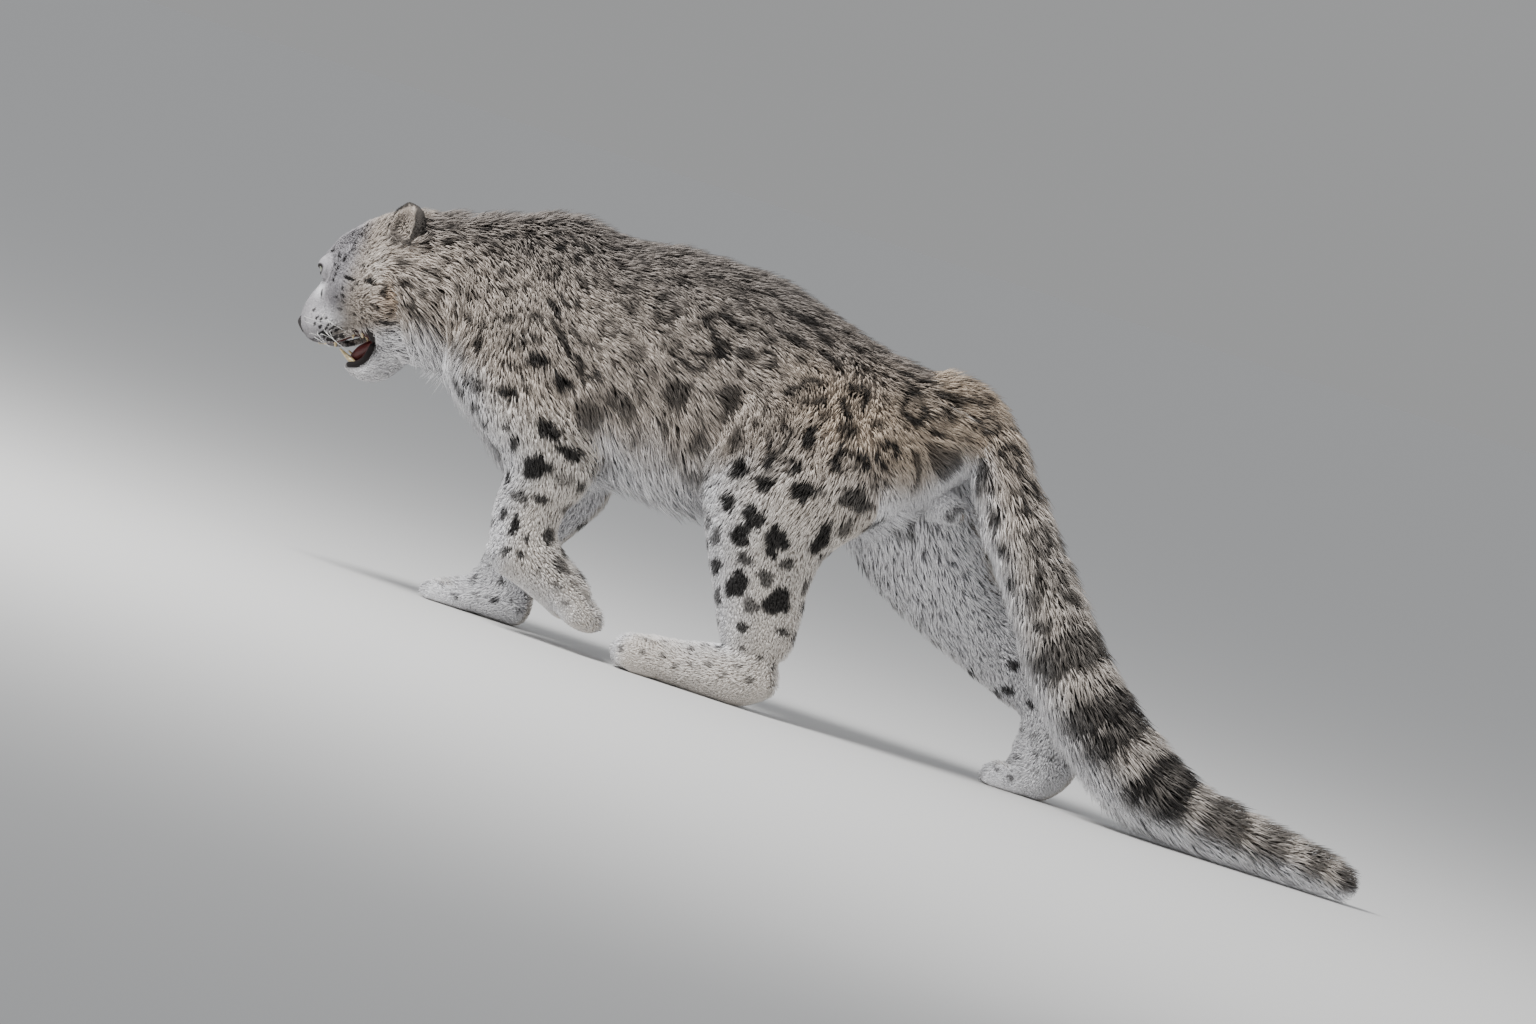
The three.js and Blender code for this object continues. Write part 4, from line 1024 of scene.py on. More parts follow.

# %% Marks of the body, listed one by one
# across the picture, up, width, height, darkness, R for a ring or S for a solid spot, and the tilt
BODY_MARKS = [
    (-452, 578, 18, 9, 0.95, "S", 30), (-430, 566, 18, 10, 0.95, "S", 30),
    (-405, 592, 34, 9, 0.95, "S", 38), (-398, 562, 26, 12, 0.95, "S", 20),
    (-374, 598, 36, 9, 0.95, "S", 40), (-372, 574, 22, 12, 0.95, "S", 30),
    (-350, 566, 20, 10, 0.9, "S", 20), (-342, 606, 40, 10, 0.95, "S", 38),
    (-330, 588, 24, 10, 0.9, "S", 40), (-318, 572, 26, 14, 1, "S", 60), (-300, 586, 24, 10, 0.9, "S", -50),
    (-290, 562, 26, 12, 0.95, "S", -70), (-278, 582, 30, 10, 0.95, "S", -40),
    (-262, 560, 22, 10, 0.8, "S", -60), (-300, 616, 30, 10, 0.9, "S", 10),
    (-236, 596, 34, 12, 0.9, "S", 10), (-222, 576, 34, 12, 0.85, "S", -30),
    (-190, 590, 30, 12, 0.8, "S", -40), (-176, 568, 42, 20, 0.8, "R", 0), (-150, 600, 36, 14, 0.8, "S", 0),
    (-110, 588, 52, 26, 0.75, "R", 0), (-60, 592, 52, 26, 0.75, "R", 0), (-15, 572, 52, 30, 0.75, "R", 0),
    (30, 590, 40, 14, 0.85, "S", -15), (70, 582, 44, 20, 0.9, "S", -10), (60, 548, 60, 14, 0.9, "S", -10),
    (100, 562, 40, 16, 0.85, "S", -20), (120, 538, 50, 14, 0.9, "S", -25),
    (150, 565, 40, 12, 0.9, "S", -15), (190, 560, 34, 10, 0.9, "S", -10),
    (170, 540, 40, 12, 0.85, "S", -15), (230, 552, 40, 10, 0.95, "S", 0), (270, 553, 40, 10, 0.95, "S", 5),
    (300, 542, 44, 12, 0.95, "S", 0), (-410, 536, 24, 28, 0.9, "R", 20), (-440, 508, 13, 11, 0.85, "S", 0),
    (-392, 505, 13, 13, 0.9, "S", 0), (-402, 480, 12, 14, 0.75, "S", 0), (-370, 520, 10, 14, 0.7, "S", 0),
    (-322, 532, 36, 42, 0.9, "R", -30), (-365, 550, 28, 24, 0.85, "R", 0), (-350, 500, 15, 11, 0.7, "S", 0),
    (-270, 498, 13, 19, 0.95, "S", 0), (-268, 530, 32, 15, 0.8, "S", -30),
    (-446, 462, 11, 13, 0.85, "S", 0), (-441, 430, 12, 17, 0.9, "S", 0), (-418, 420, 10, 17, 0.9, "S", 0),
    (-395, 418, 13, 19, 0.85, "S", 0), (-392, 388, 17, 31, 0.95, "S", 0), (-432, 378, 11, 23, 0.9, "S", 20),
    (-410, 360, 11, 17, 0.85, "S", 20), (-380, 440, 11, 17, 0.8, "S", 0), (-358, 444, 28, 13, 0.8, "S", 30),
    (-340, 412, 36, 22, 0.95, "R", 0), (-298, 396, 37, 25, 1, "S", 0), (-318, 430, 36, 9, 0.85, "S", -20),
    (-337, 378, 26, 11, 0.9, "S", 0), (-302, 480, 46, 12, 0.95, "S", -40),
    (-288, 494, 42, 9, 0.9, "S", -38), (-318, 460, 26, 20, 0.8, "S", 0), (-285, 454, 46, 10, 0.9, "S", -38),
    (-265, 434, 46, 10, 0.95, "S", -40), (-252, 452, 38, 9, 0.85, "S", -42),
    (-240, 418, 38, 10, 0.95, "S", -40), (-230, 396, 46, 9, 0.9, "S", -50), (-252, 376, 32, 28, 1, "S", 0),
    (-207, 402, 22, 18, 0.95, "S", 0), (-212, 476, 36, 32, 0.8, "R", 0), (-222, 446, 32, 12, 0.7, "S", -20),
    (-200, 530, 42, 42, 0.75, "R", 0), (-240, 540, 30, 32, 0.75, "R", 0), (-328, 336, 36, 21, 1, "S", 0),
    (-300, 352, 15, 21, 0.8, "S", 0), (-251, 303, 44, 30, 1, "S", 0), (-140, 532, 42, 52, 0.85, "R", 0),
    (-120, 486, 36, 36, 0.75, "R", 0), (-160, 455, 32, 32, 0.6, "S", 0), (-50, 530, 66, 56, 0.95, "R", 0),
    (-72, 474, 56, 34, 0.95, "R", 0), (-40, 490, 26, 22, 1, "S", 0), (-8, 505, 26, 24, 0.9, "S", 0),
    (22, 506, 44, 32, 0.95, "R", 0), (0, 542, 52, 28, 0.8, "R", 0), (-85, 412, 40, 56, 0.85, "S", 0),
    (-6, 432, 36, 46, 0.85, "S", 0), (-137, 418, 36, 46, 0.65, "R", 0), (-85, 356, 15, 24, 0.8, "S", 0),
    (-33, 352, 28, 46, 0.75, "S", 0), (34, 462, 32, 26, 0.5, "S", 0), (-122, 330, 16, 42, 0.5, "S", 0),
    (-60, 318, 15, 42, 0.55, "S", 0), (102, 480, 62, 54, 0.95, "R", 0), (168, 490, 54, 60, 1, "R", 0),
    (262, 508, 54, 62, 1, "R", 0), (308, 496, 36, 46, 0.95, "R", 0), (242, 428, 48, 42, 1, "R", 0),
    (190, 398, 62, 42, 1, "R", 0), (122, 415, 23, 36, 1, "S", 0), (76, 400, 46, 54, 0.9, "R", 0),
    (92, 366, 60, 36, 1, "R", 0), (20, 378, 28, 38, 0.75, "S", 0), (34, 338, 36, 30, 1, "S", 0),
    (76, 330, 30, 31, 1, "S", 0), (134, 334, 36, 38, 1, "S", 0), (216, 345, 50, 40, 0.9, "S", 0),
    (162, 344, 24, 13, 0.85, "S", 0), (296, 400, 16, 60, 0.8, "S", 0), (288, 432, 32, 20, 0.85, "S", -40),
    (134, 452, 20, 26, 0.7, "S", 0), (212, 468, 26, 18, 0.8, "S", 0), (60, 438, 42, 32, 0.55, "R", 0),
    (32, 285, 30, 27, 1, "S", 0), (76, 276, 37, 37, 1, "S", 0), (67, 244, 40, 30, 1, "S", 0),
    (123, 257, 36, 42, 1, "S", 0), (120, 232, 22, 18, 1, "S", 0), (186, 276, 30, 55, 1, "S", 0),
    (86, 172, 37, 44, 1, "S", 0), (154, 169, 40, 47, 1, "S", 0), (114, 115, 23, 15, 0.95, "S", 0),
    (176, 127, 30, 12, 0.9, "S", 0), (215, 300, 26, 30, 0.85, "S", 0), (150, 225, 21, 23, 0.85, "S", 0),
    (67, 79, 13, 10, 0.85, "S", 0), (51, 61, 13, 9, 0.85, "S", 0), (89, 77, 13, 10, 0.85, "S", 0),
    (120, 86, 11, 9, 0.8, "S", 0), (-205, 282, 45, 26, 1, "S", 0), (-249, 244, 46, 38, 1, "S", 0),
    (-294, 266, 16, 24, 0.95, "S", 0), (-312, 289, 13, 13, 0.9, "S", 0), (-207, 240, 30, 21, 0.6, "S", 0),
    (-291, 213, 16, 30, 0.95, "S", 0), (-231, 199, 29, 13, 0.95, "S", 0), (-279, 165, 16, 21, 0.95, "S", 0),
    (-260, 153, 14, 40, 1, "S", 0), (-292, 144, 13, 15, 0.85, "S", 0), (-235, 137, 9, 15, 0.95, "S", 0),
    (-258, 111, 16, 16, 0.95, "S", 0), (-236, 115, 15, 15, 0.95, "S", 0), (-281, 95, 10, 10, 0.95, "S", 0),
    (-255, 60, 14, 12, 0.85, "S", 0), (-255, 29, 13, 11, 0.95, "S", 0), (-312, 20, 10, 9, 0.8, "S", 0),
    (520, 182, 23, 16, 0.95, "S", 0), (522, 142, 21, 17, 0.95, "S", 0), (560, 132, 15, 15, 0.95, "S", 0),
    (472, 287, 22, 18, 0.6, "S", 0), (500, 230, 22, 16, 0.6, "S", 0), (317, 540, 46, 22, 0.9, "S", 0),
    (372, 517, 42, 36, 1, "R", 0), (422, 478, 46, 44, 1, "R", 0), (383, 433, 34, 52, 0.9, "S", 0),
    (467, 430, 42, 57, 1, "R", 0), (420, 379, 22, 30, 0.95, "S", 0), (503, 376, 52, 52, 0.95, "R", 0),
    (444, 340, 25, 28, 1, "S", 0), (474, 292, 18, 22, 1, "S", 0), (530, 330, 52, 46, 0.95, "R", 0),
    (-512, 542, 22, 11, 0.9, "S", 0), (-483, 550, 27, 11, 0.9, "S", 10), (-483, 529, 25, 14, 0.95, "S", 20),
    (-492, 569, 22, 10, 0.9, "S", 20), (-470, 500, 14, 12, 0.8, "S", 0), (-500, 505, 14, 10, 0.7, "S", 0),
    (-465, 540, 16, 12, 0.8, "S", 0),
]
print(len(BODY_MARKS), "marks on the near side of the body")

# %% Bands of the tail
# share of its length, half the width as a share, darkness
TAIL_BANDS = [
    (0.42, 0.022, 0.9), (0.508, 0.019, 1.0), (0.552, 0.022, 1.0), (0.648, 0.038, 1.0), (0.755, 0.03, 0.85),
    (0.838, 0.02, 0.75), (0.91, 0.018, 0.8), (0.98, 0.02, 0.9),
]
print(len(TAIL_BANDS), "bands")

# %% [markdown]
# A mark is held as a place on the outline of the coat and two directions along it, so it stays where it is
# from every side. A place given across and up the picture is looked for on the side that the camera sees.

# %% Marks placed on the skin
outline = skin_points + skin_normals * skin_coat[:, None]  # where the tips of the hair are
marks = []


def add_mark(index, width, height, dark, kind, tilt=0):
    """One more mark, laid on the coat over a point of the skin."""
    normal = skin_normals[index]
    level = unit(ACROSS - normal * (ACROSS @ normal))
    rise = np.cross(normal, level)
    near, far = math.cos(math.radians(tilt)), math.sin(math.radians(tilt))
    level, rise = near * level + far * rise, near * rise - far * level
    turns = rng.uniform(0, 2 * np.pi, 3)  # of the ragged edge
    marks.append((outline[index], level, rise, width / 2, height / 2, dark, kind, turns))


def seen_at(across, up, here):
    """The point of the skin that the camera sees at a place of the picture."""
    away = np.hypot(outline[here] @ ACROSS - across, outline[here, 2] - up)
    near = away < away.min() + 5
    return here[near][(outline[here[near]] @ TO_CAMERA - 4 * away[near]).argmax()]


# %% Listed marks on body and head
SPREAD = 1.15  # how much wider the marks of the face are than they are set out
facing = skin_normals @ TO_CAMERA > -0.05
is_head = form_is(skin_form, "head")
head_here = np.flatnonzero(facing & is_head)
body_here = np.flatnonzero(facing & ~form_is(skin_form, "head", "ear"))
for across, up, *size in BODY_MARKS:
    add_mark(seen_at(across, up, body_here), *size)
far_half = np.flatnonzero(is_head & (head_sizes(outline)[2] < 0))
for across, up, width, height, dark, tilt in HEAD_MARKS:
    index = seen_at(across, up, head_here)
    add_mark(index, SPREAD * width, SPREAD * height, dark, "S", tilt)
    along_at, up_at, out_at = (float(value[0]) for value in head_sizes(outline[index][None]))
    mirrored = on_head(along_at, up_at, -out_at)[0] + rng.normal(size=3)
    nearest = np.linalg.norm(outline[far_half] - mirrored, axis=1).argmin()
    add_mark(far_half[nearest], SPREAD * width, SPREAD * height, dark, "S", -tilt)
print(len(marks), "marks by eye")


# %% [markdown]
# What the picture doesn't show is filled in as the species has it: streaks along the spine and neck, rings
# on the flanks, spots down the legs and small ones on the feet, none too near another.

# %% Scattered marks
def scatter(here, gap, width, height, dark, kinds, tries=6000):
    """Marks scattered over part of the skin, none nearer than a gap to another."""
    spots = np.flatnonzero(here)
    placed = np.array([mark[0] for mark in marks])
    for index in rng.permutation(spots)[:tries]:
        point = skin_points[index] + skin_normals[index] * skin_coat[index]
        if np.min(np.linalg.norm(placed - point, axis=1)) > gap * rng.uniform(0.85, 1.15):
            add_mark(index, width * rng.uniform(0.75, 1.2), height * rng.uniform(0.75, 1.2),
                     dark * rng.uniform(0.8, 1), kinds[rng.integers(len(kinds))])
            placed = np.vstack([placed, point])


# %% Where each kind is scattered
height_share = trunk_height(outline)
on_trunk = form_is(skin_form, "trunk")
neck_part = on_trunk & (skin_points[:, 0] < -400)
spine = on_trunk & (height_share > 0.86)
scatter(spine, 30, 32, 12, 0.9, "S")
scatter(neck_part & (height_share > 0.25), 30, 24, 15, 0.9, "S")
scatter(on_trunk & ~neck_part & (height_share > 0.24) & (height_share < 0.86), 58, 54, 46, 0.9, "RRRS")
scatter(on_trunk & ~neck_part & (height_share > 0.3) & (height_share < 0.92), 33, 19, 14, 0.75, "S")
upper_legs = form_is(skin_form, "near_", "far_") & (skin_points[:, 2] > 250)
outer = np.where(skin_points[:, 1] < 0, -skin_normals[:, 1], skin_normals[:, 1]) > -0.2
scatter(upper_legs & outer, 50, 38, 36, 0.95, "SRR")
lower_legs = form_is(skin_form, "near_", "far_") & (skin_points[:, 2] > 100) & ~upper_legs
scatter(lower_legs & outer, 38, 26, 26, 0.95, "S")
feet = form_is(skin_form, "near_", "far_") & (skin_points[:, 2] < 100) & (skin_normals[:, 2] > 0)
scatter(feet, 26, 11, 9, 0.8, "S")
along, up, out = head_sizes(skin_points)
scatter(is_head & (along < 20) & (up > -60), 24, 12, 9, 0.7, "S")
tail_root = form_is(skin_form, "tail") & (skin_place < 0.47) & (skin_normals[:, 2] > -0.3)
scatter(tail_root, 48, 38, 34, 0.9, "SR")
print(len(marks), "marks in all")


# %% How dark each place is
HEAD_FUZZ = 0.4  # how far the hair is out of place at the edge of a mark
FUZZ = 1.5


def darkness(points, form, place, normals):
    """How dark the marks make each place."""
    dark = np.zeros(len(points))
    fuzz = np.where(form_is(form, "head", "ear"), HEAD_FUZZ, FUZZ)
    fuzzy = points + fuzz[:, None] * rng.normal(size=points.shape)
    for centre, level, rise, wide, high, strength, kind, turns in marks:
        reach = 1.5 * max(wide, high)
        near = np.flatnonzero((np.abs(points - centre) < reach).all(1))
        away = fuzzy[near] - centre
        a, b = away @ level / wide, away @ rise / high
        angle = np.arctan2(b, a)
        ragged = 1
        for waves, turn, strong in zip((2, 3, 5), turns, (0.13, 0.12, 0.08)):
            ragged = ragged + strong * np.sin(waves * angle + turn)
        depth = np.abs(away @ np.cross(level, rise)) / max(wide, high, 12)
        far = np.hypot(np.hypot(a, b), 0.3 * depth) / ragged
        value = smoothstep(1.12, 0.88, far)
        if kind == "R":
            gaps = smoothstep(-1.0, -0.55, np.sin(angle * 2 + turns[1]) + 0.5 * np.sin(3 * angle + turns[2]))
            value = value * (0.3 + 0.7 * smoothstep(0.42, 0.62, far) * gaps)
        dark[near] = np.maximum(dark[near], value * strength)
    tail = form_is(form, "tail")
    wobble = place + 0.008 * ripple(points, 40, 2)
    for middle, half, strength in TAIL_BANDS:
        beyond = np.abs(wobble - middle) / half
        band = smoothstep(1.25, 0.85, beyond) * smoothstep(-0.75, -0.2, normals[:, 2])
        core = 1 - 0.25 * smoothstep(0.5, 0.1, beyond)
        dark = np.where(tail, np.maximum(dark, band * core * strength), dark)
    return dark


# %% Dark skin of the mouth and ears, and painted shade in the ears' cups
def mouth_skin(points):
    """How much each place is the dark web at the corner of the mouth, and how much the inside of it."""
    across, rise = face_view(*head_sizes(points))
    line = refine([(a, 0, u) for a, u in LIP_CORNER], 6)
    away = np.full(len(points), 1e3)
    near = np.flatnonzero((np.abs(across + 560) < 40) & (np.abs(rise - 330) < 50))
    away[near] = np.hypot(across[near, None] - line[:, 0], rise[near, None] - line[:, 2]).min(1)
    inner = np.hypot((across + 567) / 17, (rise - 332) / 27)
    return smoothstep(6.5, 4.5, away), smoothstep(1.06, 0.94, inner)


def ear_darkness(points, form):
    """The black rim along the back of each ear, and the shade in its cup."""
    dark = np.zeros(len(points))
    for side_name, side in SIDES.items():
        stem, opening, broad = ear_axes(side)
        away = points - on_head(EAR[0], EAR[1], side * EAR[2])[0]
        rise, forward, across = away @ stem, away @ opening, away @ broad
        half = np.interp(rise, [row[0] for row in EAR_ROWS] + [70], [row[2] for row in EAR_ROWS] + [6])
        edge = np.hypot(across / half, np.clip(rise - 34, 0, 99) / 38)
        rear = smoothstep(0, 10, side * across)
        rim = np.maximum(smoothstep(0.84, 0.96, edge), smoothstep(0.5, 0.72, edge) * rear)
        # painted shade in the hollow of the ear's cup
        cup = 0.78 * smoothstep(0, 6, forward) * smoothstep(0.85, 0.35, edge)
        behind = smoothstep(2, -5, forward) * smoothstep(0.35, 0.6, edge)
        value = np.maximum(np.maximum(0.95 * rim, cup), behind)
        dark = np.where(form == FORMS.index("ear_" + side_name), np.maximum(dark, value), dark)
    return dark


# %% Colour of skin and coat
def toe_clefts(points, form):
    """The shade in the clefts between the toes."""
    shade = np.zeros(len(points))
    for name in LEGS:
        here = np.flatnonzero(form == FORMS.index(name + "_foot"))
        toes = [refine(toe[:, :3], 4) for toe in np.array(toe_rows(name), float)]
        away = [np.linalg.norm(points[here, None] - toe[None], axis=-1).min(1) for toe in toes]
        away = np.sort(away, axis=0)
        shade[here] = smoothstep(5, 1, away[1] - away[0]) * smoothstep(34, 26, away[0])
    return shade


def coat_colour(points, normals, form, place):
    """The colour of skin or hair that is seen at each place."""
    dark = np.maximum(darkness(points, form, place, normals), ear_darkness(points, form))
    colour = ground_colour(points, normals, form, place)
    colour = colour * (1 - 0.55 * toe_clefts(points, form))[:, None]
    ink = mix(np.broadcast_to(CHARCOAL, points.shape), BLACK, smoothstep(0.6, 0.95, dark))
    return mix(colour, ink, dark * 0.97)
# %% [markdown]
# Each tuft is one thin, closed, three-sided blade that rises from the skin, bends over along the lie and
# ends in a point at the outline of the coat. Hair curves would be lost in the export, so every blade is
# mesh. Their number follows the depth of the coat: fine and close on the face and feet, long and broader
# where the coat hangs.

# %% Roots
def roots_on(spacing):
    """Places spread over the skin, as a face and the shares of its three corners."""
    corners = skin_points[skin_faces]
    area = np.linalg.norm(np.cross(corners[:, 1] - corners[:, 0], corners[:, 2] - corners[:, 0]), axis=1) / 2
    gap = spacing[skin_faces].mean(1)
    expected = area / gap ** 2
    count = np.floor(expected + rng.uniform(size=len(expected))).astype(int)
    face = np.repeat(np.arange(len(skin_faces)), count)
    a, b = rng.uniform(size=(2, len(face)))
    over = a + b > 1
    a[over], b[over] = 1 - a[over], 1 - b[over]
    return face, np.stack([1 - a - b, a, b], -1)


def at_roots(values, face, shares):
    """What stands at the skin's points, mixed for each root."""
    picked = values[skin_faces[face]]
    return (picked * shares.reshape(shares.shape + (1,) * (picked.ndim - 2))).sum(1)


# %% [markdown]
# Some skin has no tufts: the eyelids and lips, the nose, the inside of the mouth and the soles. So for every
# point of the skin it is worked out how far it is from each of these.

# %% Distances on the face
def beside_eye(points, side):
    """How far places are in front of an eye's middle, aside, above, and in all."""
    away = points - on_head(EYE[0], EYE[1], side * EYE[2])[0]
    gaze, aside, above = gaze_axes(side)
    return away @ gaze, away @ aside, away @ above, np.linalg.norm(away, axis=1)


def from_lip(points, lip, side):
    """How far places are from the middle of one half of a lip."""
    line = refine([(a, u, side * o) for a, u, o in lip], 6)
    places = on_head(line[:, 0], line[:, 1], line[:, 2])
    return np.linalg.norm(points[:, None] - places[None], axis=-1).min(1)


def in_mouth(points):
    """How far places are from the middles of the mouth's hollows, as a share of the way to their walls."""
    shares = []
    for place, sizes in MOUTH:
        away = points - on_head(*place)[0]
        level = np.hypot(away @ ALONG / sizes[0], away @ OUT / sizes[1])
        shares.append(np.hypot(level, away @ UP / sizes[2]))
    return np.minimum(*shares)


# %% Bare skin
LIPS = ((UPPER_LIP, 4.4), (LOWER_LIP, 5.4))  # with how far from each no tuft grows
NOSE_MIDDLE = (160, -32, 0)
NOSE_REACH = 17
SOLE = 3  # height of the bare soles over the ground
bare = np.zeros(len(skin_points), bool)
for side in (1, -1):
    forward, aside, above, far = beside_eye(skin_points, side)
    bare |= (np.hypot(aside / 13, above / 9) < 1) & (forward > 0) & (far < 24)
web, within = mouth_skin(skin_points)
bare |= form_is(skin_form, "head") & ((web > 0.5) | (within > 0.5))
for lip, clear in LIPS:
    for side in (1, -1):
        bare |= from_lip(skin_points, lip, side) < clear
bare |= in_mouth(skin_points) < 1.12
bare |= np.linalg.norm((skin_points - on_head(*NOSE_MIDDLE)[0]) / (1, 1.1, 1), axis=1) < NOSE_REACH
bare |= skin_points[:, 2] < SOLE
print(bare.sum(), "bare points of the skin")

# %% Tufts on the rest
LEG_SPACING = 1.36  # how much farther apart they stand on the legs
spacing = 1.6 + 0.095 * np.minimum(skin_coat, 24) + 0.05 * np.clip(skin_coat - 24, 0, 40)
spacing = np.where(form_is(skin_form, "near_", "far_"), spacing * LEG_SPACING, spacing)
spacing = np.where(bare, 1e3, spacing)
face, shares = roots_on(spacing)
root = at_roots(skin_points, face, shares)
normal = unit(at_roots(skin_normals, face, shares))
lie = along_skin(at_roots(skin_lie, face, shares), normal)
coat = at_roots(skin_coat, face, shares)
root_form = skin_form[skin_faces[face, 0]]
coat = np.where(form_is(root_form, "ear"), np.minimum(coat, 3.5), coat)
root_place = at_roots(skin_place, face, shares)
print(len(root), "tufts")

# %% [markdown]
# A tuft rises steeply from its root, then bends over along the lie. Neighbours lean the same way but for a
# soft swing, which parts the coat into locks, and long hair falls with its weight.

# %% Shape of each tuft
FOOT_FUR = 1.6  # how much longer the hair of the feet stands than the coat is deep there
across = np.cross(lie, normal)
swing = 0.22 * ripple(root, 40, 0) + 0.2 * ripple(root, 15, 1) + 0.15 * rng.normal(size=len(root))
lie = unit(lie + swing[:, None] * across)
across = np.cross(lie, normal)
furry = np.where(form_is(root_form, *(name + "_foot" for name in LEGS)), FOOT_FUR, 1.0)
uneven = 0.97 + 0.12 * ripple(root, 26, 2) + 0.1 * rng.normal(size=len(root))
height = furry * coat * np.clip(uneven, 0.5, 1.2)
reach = coat * 1.3 * (1 + 0.15 * rng.normal(size=len(root))) + 1.2 + 1.8 * smoothstep(4, 12, coat)
fall = np.clip(coat - 20, 0, 40) * 0.35
middle = root + normal * (0.93 * height)[:, None] + lie * (0.3 * reach)[:, None]
tip = root + normal * height[:, None] + lie * reach[:, None] - Z * fall[:, None]
middle = middle - Z * (0.25 * fall)[:, None]


def held_in(points, slack):
    """Points drawn back to the outline of the coat where they stand out of it by more than the slack."""
    beyond = body_grid.sample(coat_field, points) - slack
    points = points - body_grid.slope(coat_field, points) * np.clip(beyond, 0, 40)[:, None]
    points[:, 2] = np.maximum(points[:, 2], 0.6)
    return points


slack = 1 + 0.14 * coat + 8 * (furry - 1)
middle, tip = held_in(middle, slack), held_in(tip, slack)
half_width = (0.1 + 0.36 * spacing[skin_faces[face, 0]]) * rng.uniform(0.7, 1.2, len(root))
shine = 1 + 0.07 * rng.normal(size=len(root))  # no two tufts are quite as light
print("longest reach", reach.max().round(1))


# %% [markdown]
# Where the finished model is baked, each tuft needs its own little patch of the picture. The skin is rolled
# out flat for it, form by form, and a tuft's patch lies where its root is.

# %% Atlas of the skin
MARGIN = 0.006
CELLS = [("trunk", 0, 0, 0.5, 0.5), ("head", 0.5, 0, 0.3, 0.5), ("tail", 0, 0.5, 0.5, 0.16)]
CELLS += [(name, 0.25 * i, 0.68, 0.25, 0.2) for i, name in enumerate(LEGS)]
CELLS += [(name + "_foot", 0.25 * i, 0.89, 0.25, 0.11) for i, name in enumerate(LEGS)]
CELLS += [("ear_left", 0.81, 0, 0.19, 0.24), ("ear_right", 0.81, 0.25, 0.19, 0.24)]
CHARTS = {}
for name, left, low, wide, high in CELLS:
    CHARTS[name] = (left + MARGIN, low + MARGIN, wide - 2 * MARGIN, high - 2 * MARGIN)


def unwrap(points, form, place):
    """Each form rolled out flat: the share of its length one way and the turn about its path the other."""
    flat = np.zeros((len(points), 2))
    for index, name in enumerate(FORMS):
        here = form == index
        middle, way = STREAMS[name][:2]
        near = np.clip((place[here] * (len(middle) - 1)).round().astype(int), 0, len(middle) - 1)
        away = points[here] - middle[near]
        level = unit(np.cross(way[near], Z) + 1e-6)
        turn = np.arctan2((away * level).sum(-1), (away * np.cross(level, way[near])).sum(-1))
        left, low, wide, high = CHARTS[name]
        flat[here] = np.stack([left + wide * place[here], low + high * (turn / (2 * np.pi) + 0.5)], -1)
    return flat


root_flat = unwrap(root, root_form, root_place)
print(len(CHARTS), "charts")

# %% [markdown]
# A blade follows a curve from its root over its middle to its tip. Rings of three corners stand along it,
# each narrower than the one before, so it is closed and light catches its ridge.

# %% Corners of a blade
SUNK = 1.2  # how deep the roots stand in the skin
RIDGE = 0.7  # height of the ridge as a share of half the width


def blade_corners(chosen, rings):
    """The corners of some tufts, and what share of the way to the tip each corner is."""
    start, bend, end = root[chosen] - normal[chosen] * SUNK, middle[chosen], tip[chosen]
    side, half = across[chosen], half_width[chosen]
    shares = np.linspace(0, 1, rings + 1)[:-1]
    corners = []
    for share in shares:
        place = (1 - share) ** 2 * start + 2 * share * (1 - share) * bend + share ** 2 * end
        way = unit(2 * (1 - share) * (bend - start) + 2 * share * (end - bend) + 1e-6)
        out = unit(np.cross(way, side))
        wide = (half * (1 - 0.4 * share) * (0.75 if share == 0 else 1))[:, None]
        corners += [place + side * wide, place - side * wide, place - out * wide * RIDGE]
    corners.append(end)
    return np.stack(corners, 1), np.array([*np.repeat(shares, 3), 1.0])


def blade_faces(rings):
    """The triangles of one blade: its root, the sides between its rings, and its tip."""
    faces = [(0, 2, 1)]
    for ring in range(rings - 1):
        for k in range(3):
            a, b = 3 * ring + k, 3 * ring + (k + 1) % 3
            faces += [(a, b, b + 3), (a, b + 3, a + 3)]
    last = 3 * (rings - 1)
    faces += [(last + k, last + (k + 1) % 3, 3 * rings) for k in range(3)]
    return np.array(faces)


# %% Colour and patch of a blade
PATCH = 0.0028  # size of a tuft's patch


def blade_colours(chosen, rings, level):
    """The colour of every corner: the markings where the blade is seen, darker towards its root, as painted
    shade deep in the coat and for the greyer underfur.
    """
    start, bend, end = root[chosen] - normal[chosen] * SUNK, middle[chosen], tip[chosen]
    seen = [0.08 * start + 0.42 * bend + 0.5 * end, 0.02 * start + 0.22 * bend + 0.76 * end]
    tints = [coat_colour(place, normal[chosen], root_form[chosen], root_place[chosen]) for place in seen]
    level = np.repeat(level[None], len(chosen), 0)
    # painted shade deep in the coat, with the greyer underfur: each blade darker towards its root
    shade = 0.84 + 0.18 * level ** 0.8
    tint = np.stack([tints[0]] * (3 * rings) + [tints[1]], 1) * (shade * shine[chosen][:, None])[..., None]
    return np.concatenate([np.clip(tint, 0, 1), np.ones((*level.shape, 1))], -1)


def blade_patches(chosen, rings, level):
    """Where every corner stands in the picture that is baked."""
    patch = np.zeros((len(level), 2))
    patch[:, 0] = [*np.tile((PATCH / 2, -PATCH / 2, 0.0), rings), 0.0]
    patch[:, 1] = level * PATCH - PATCH / 2
    return (root_flat[chosen][:, None] + patch[None]).reshape(-1, 2)


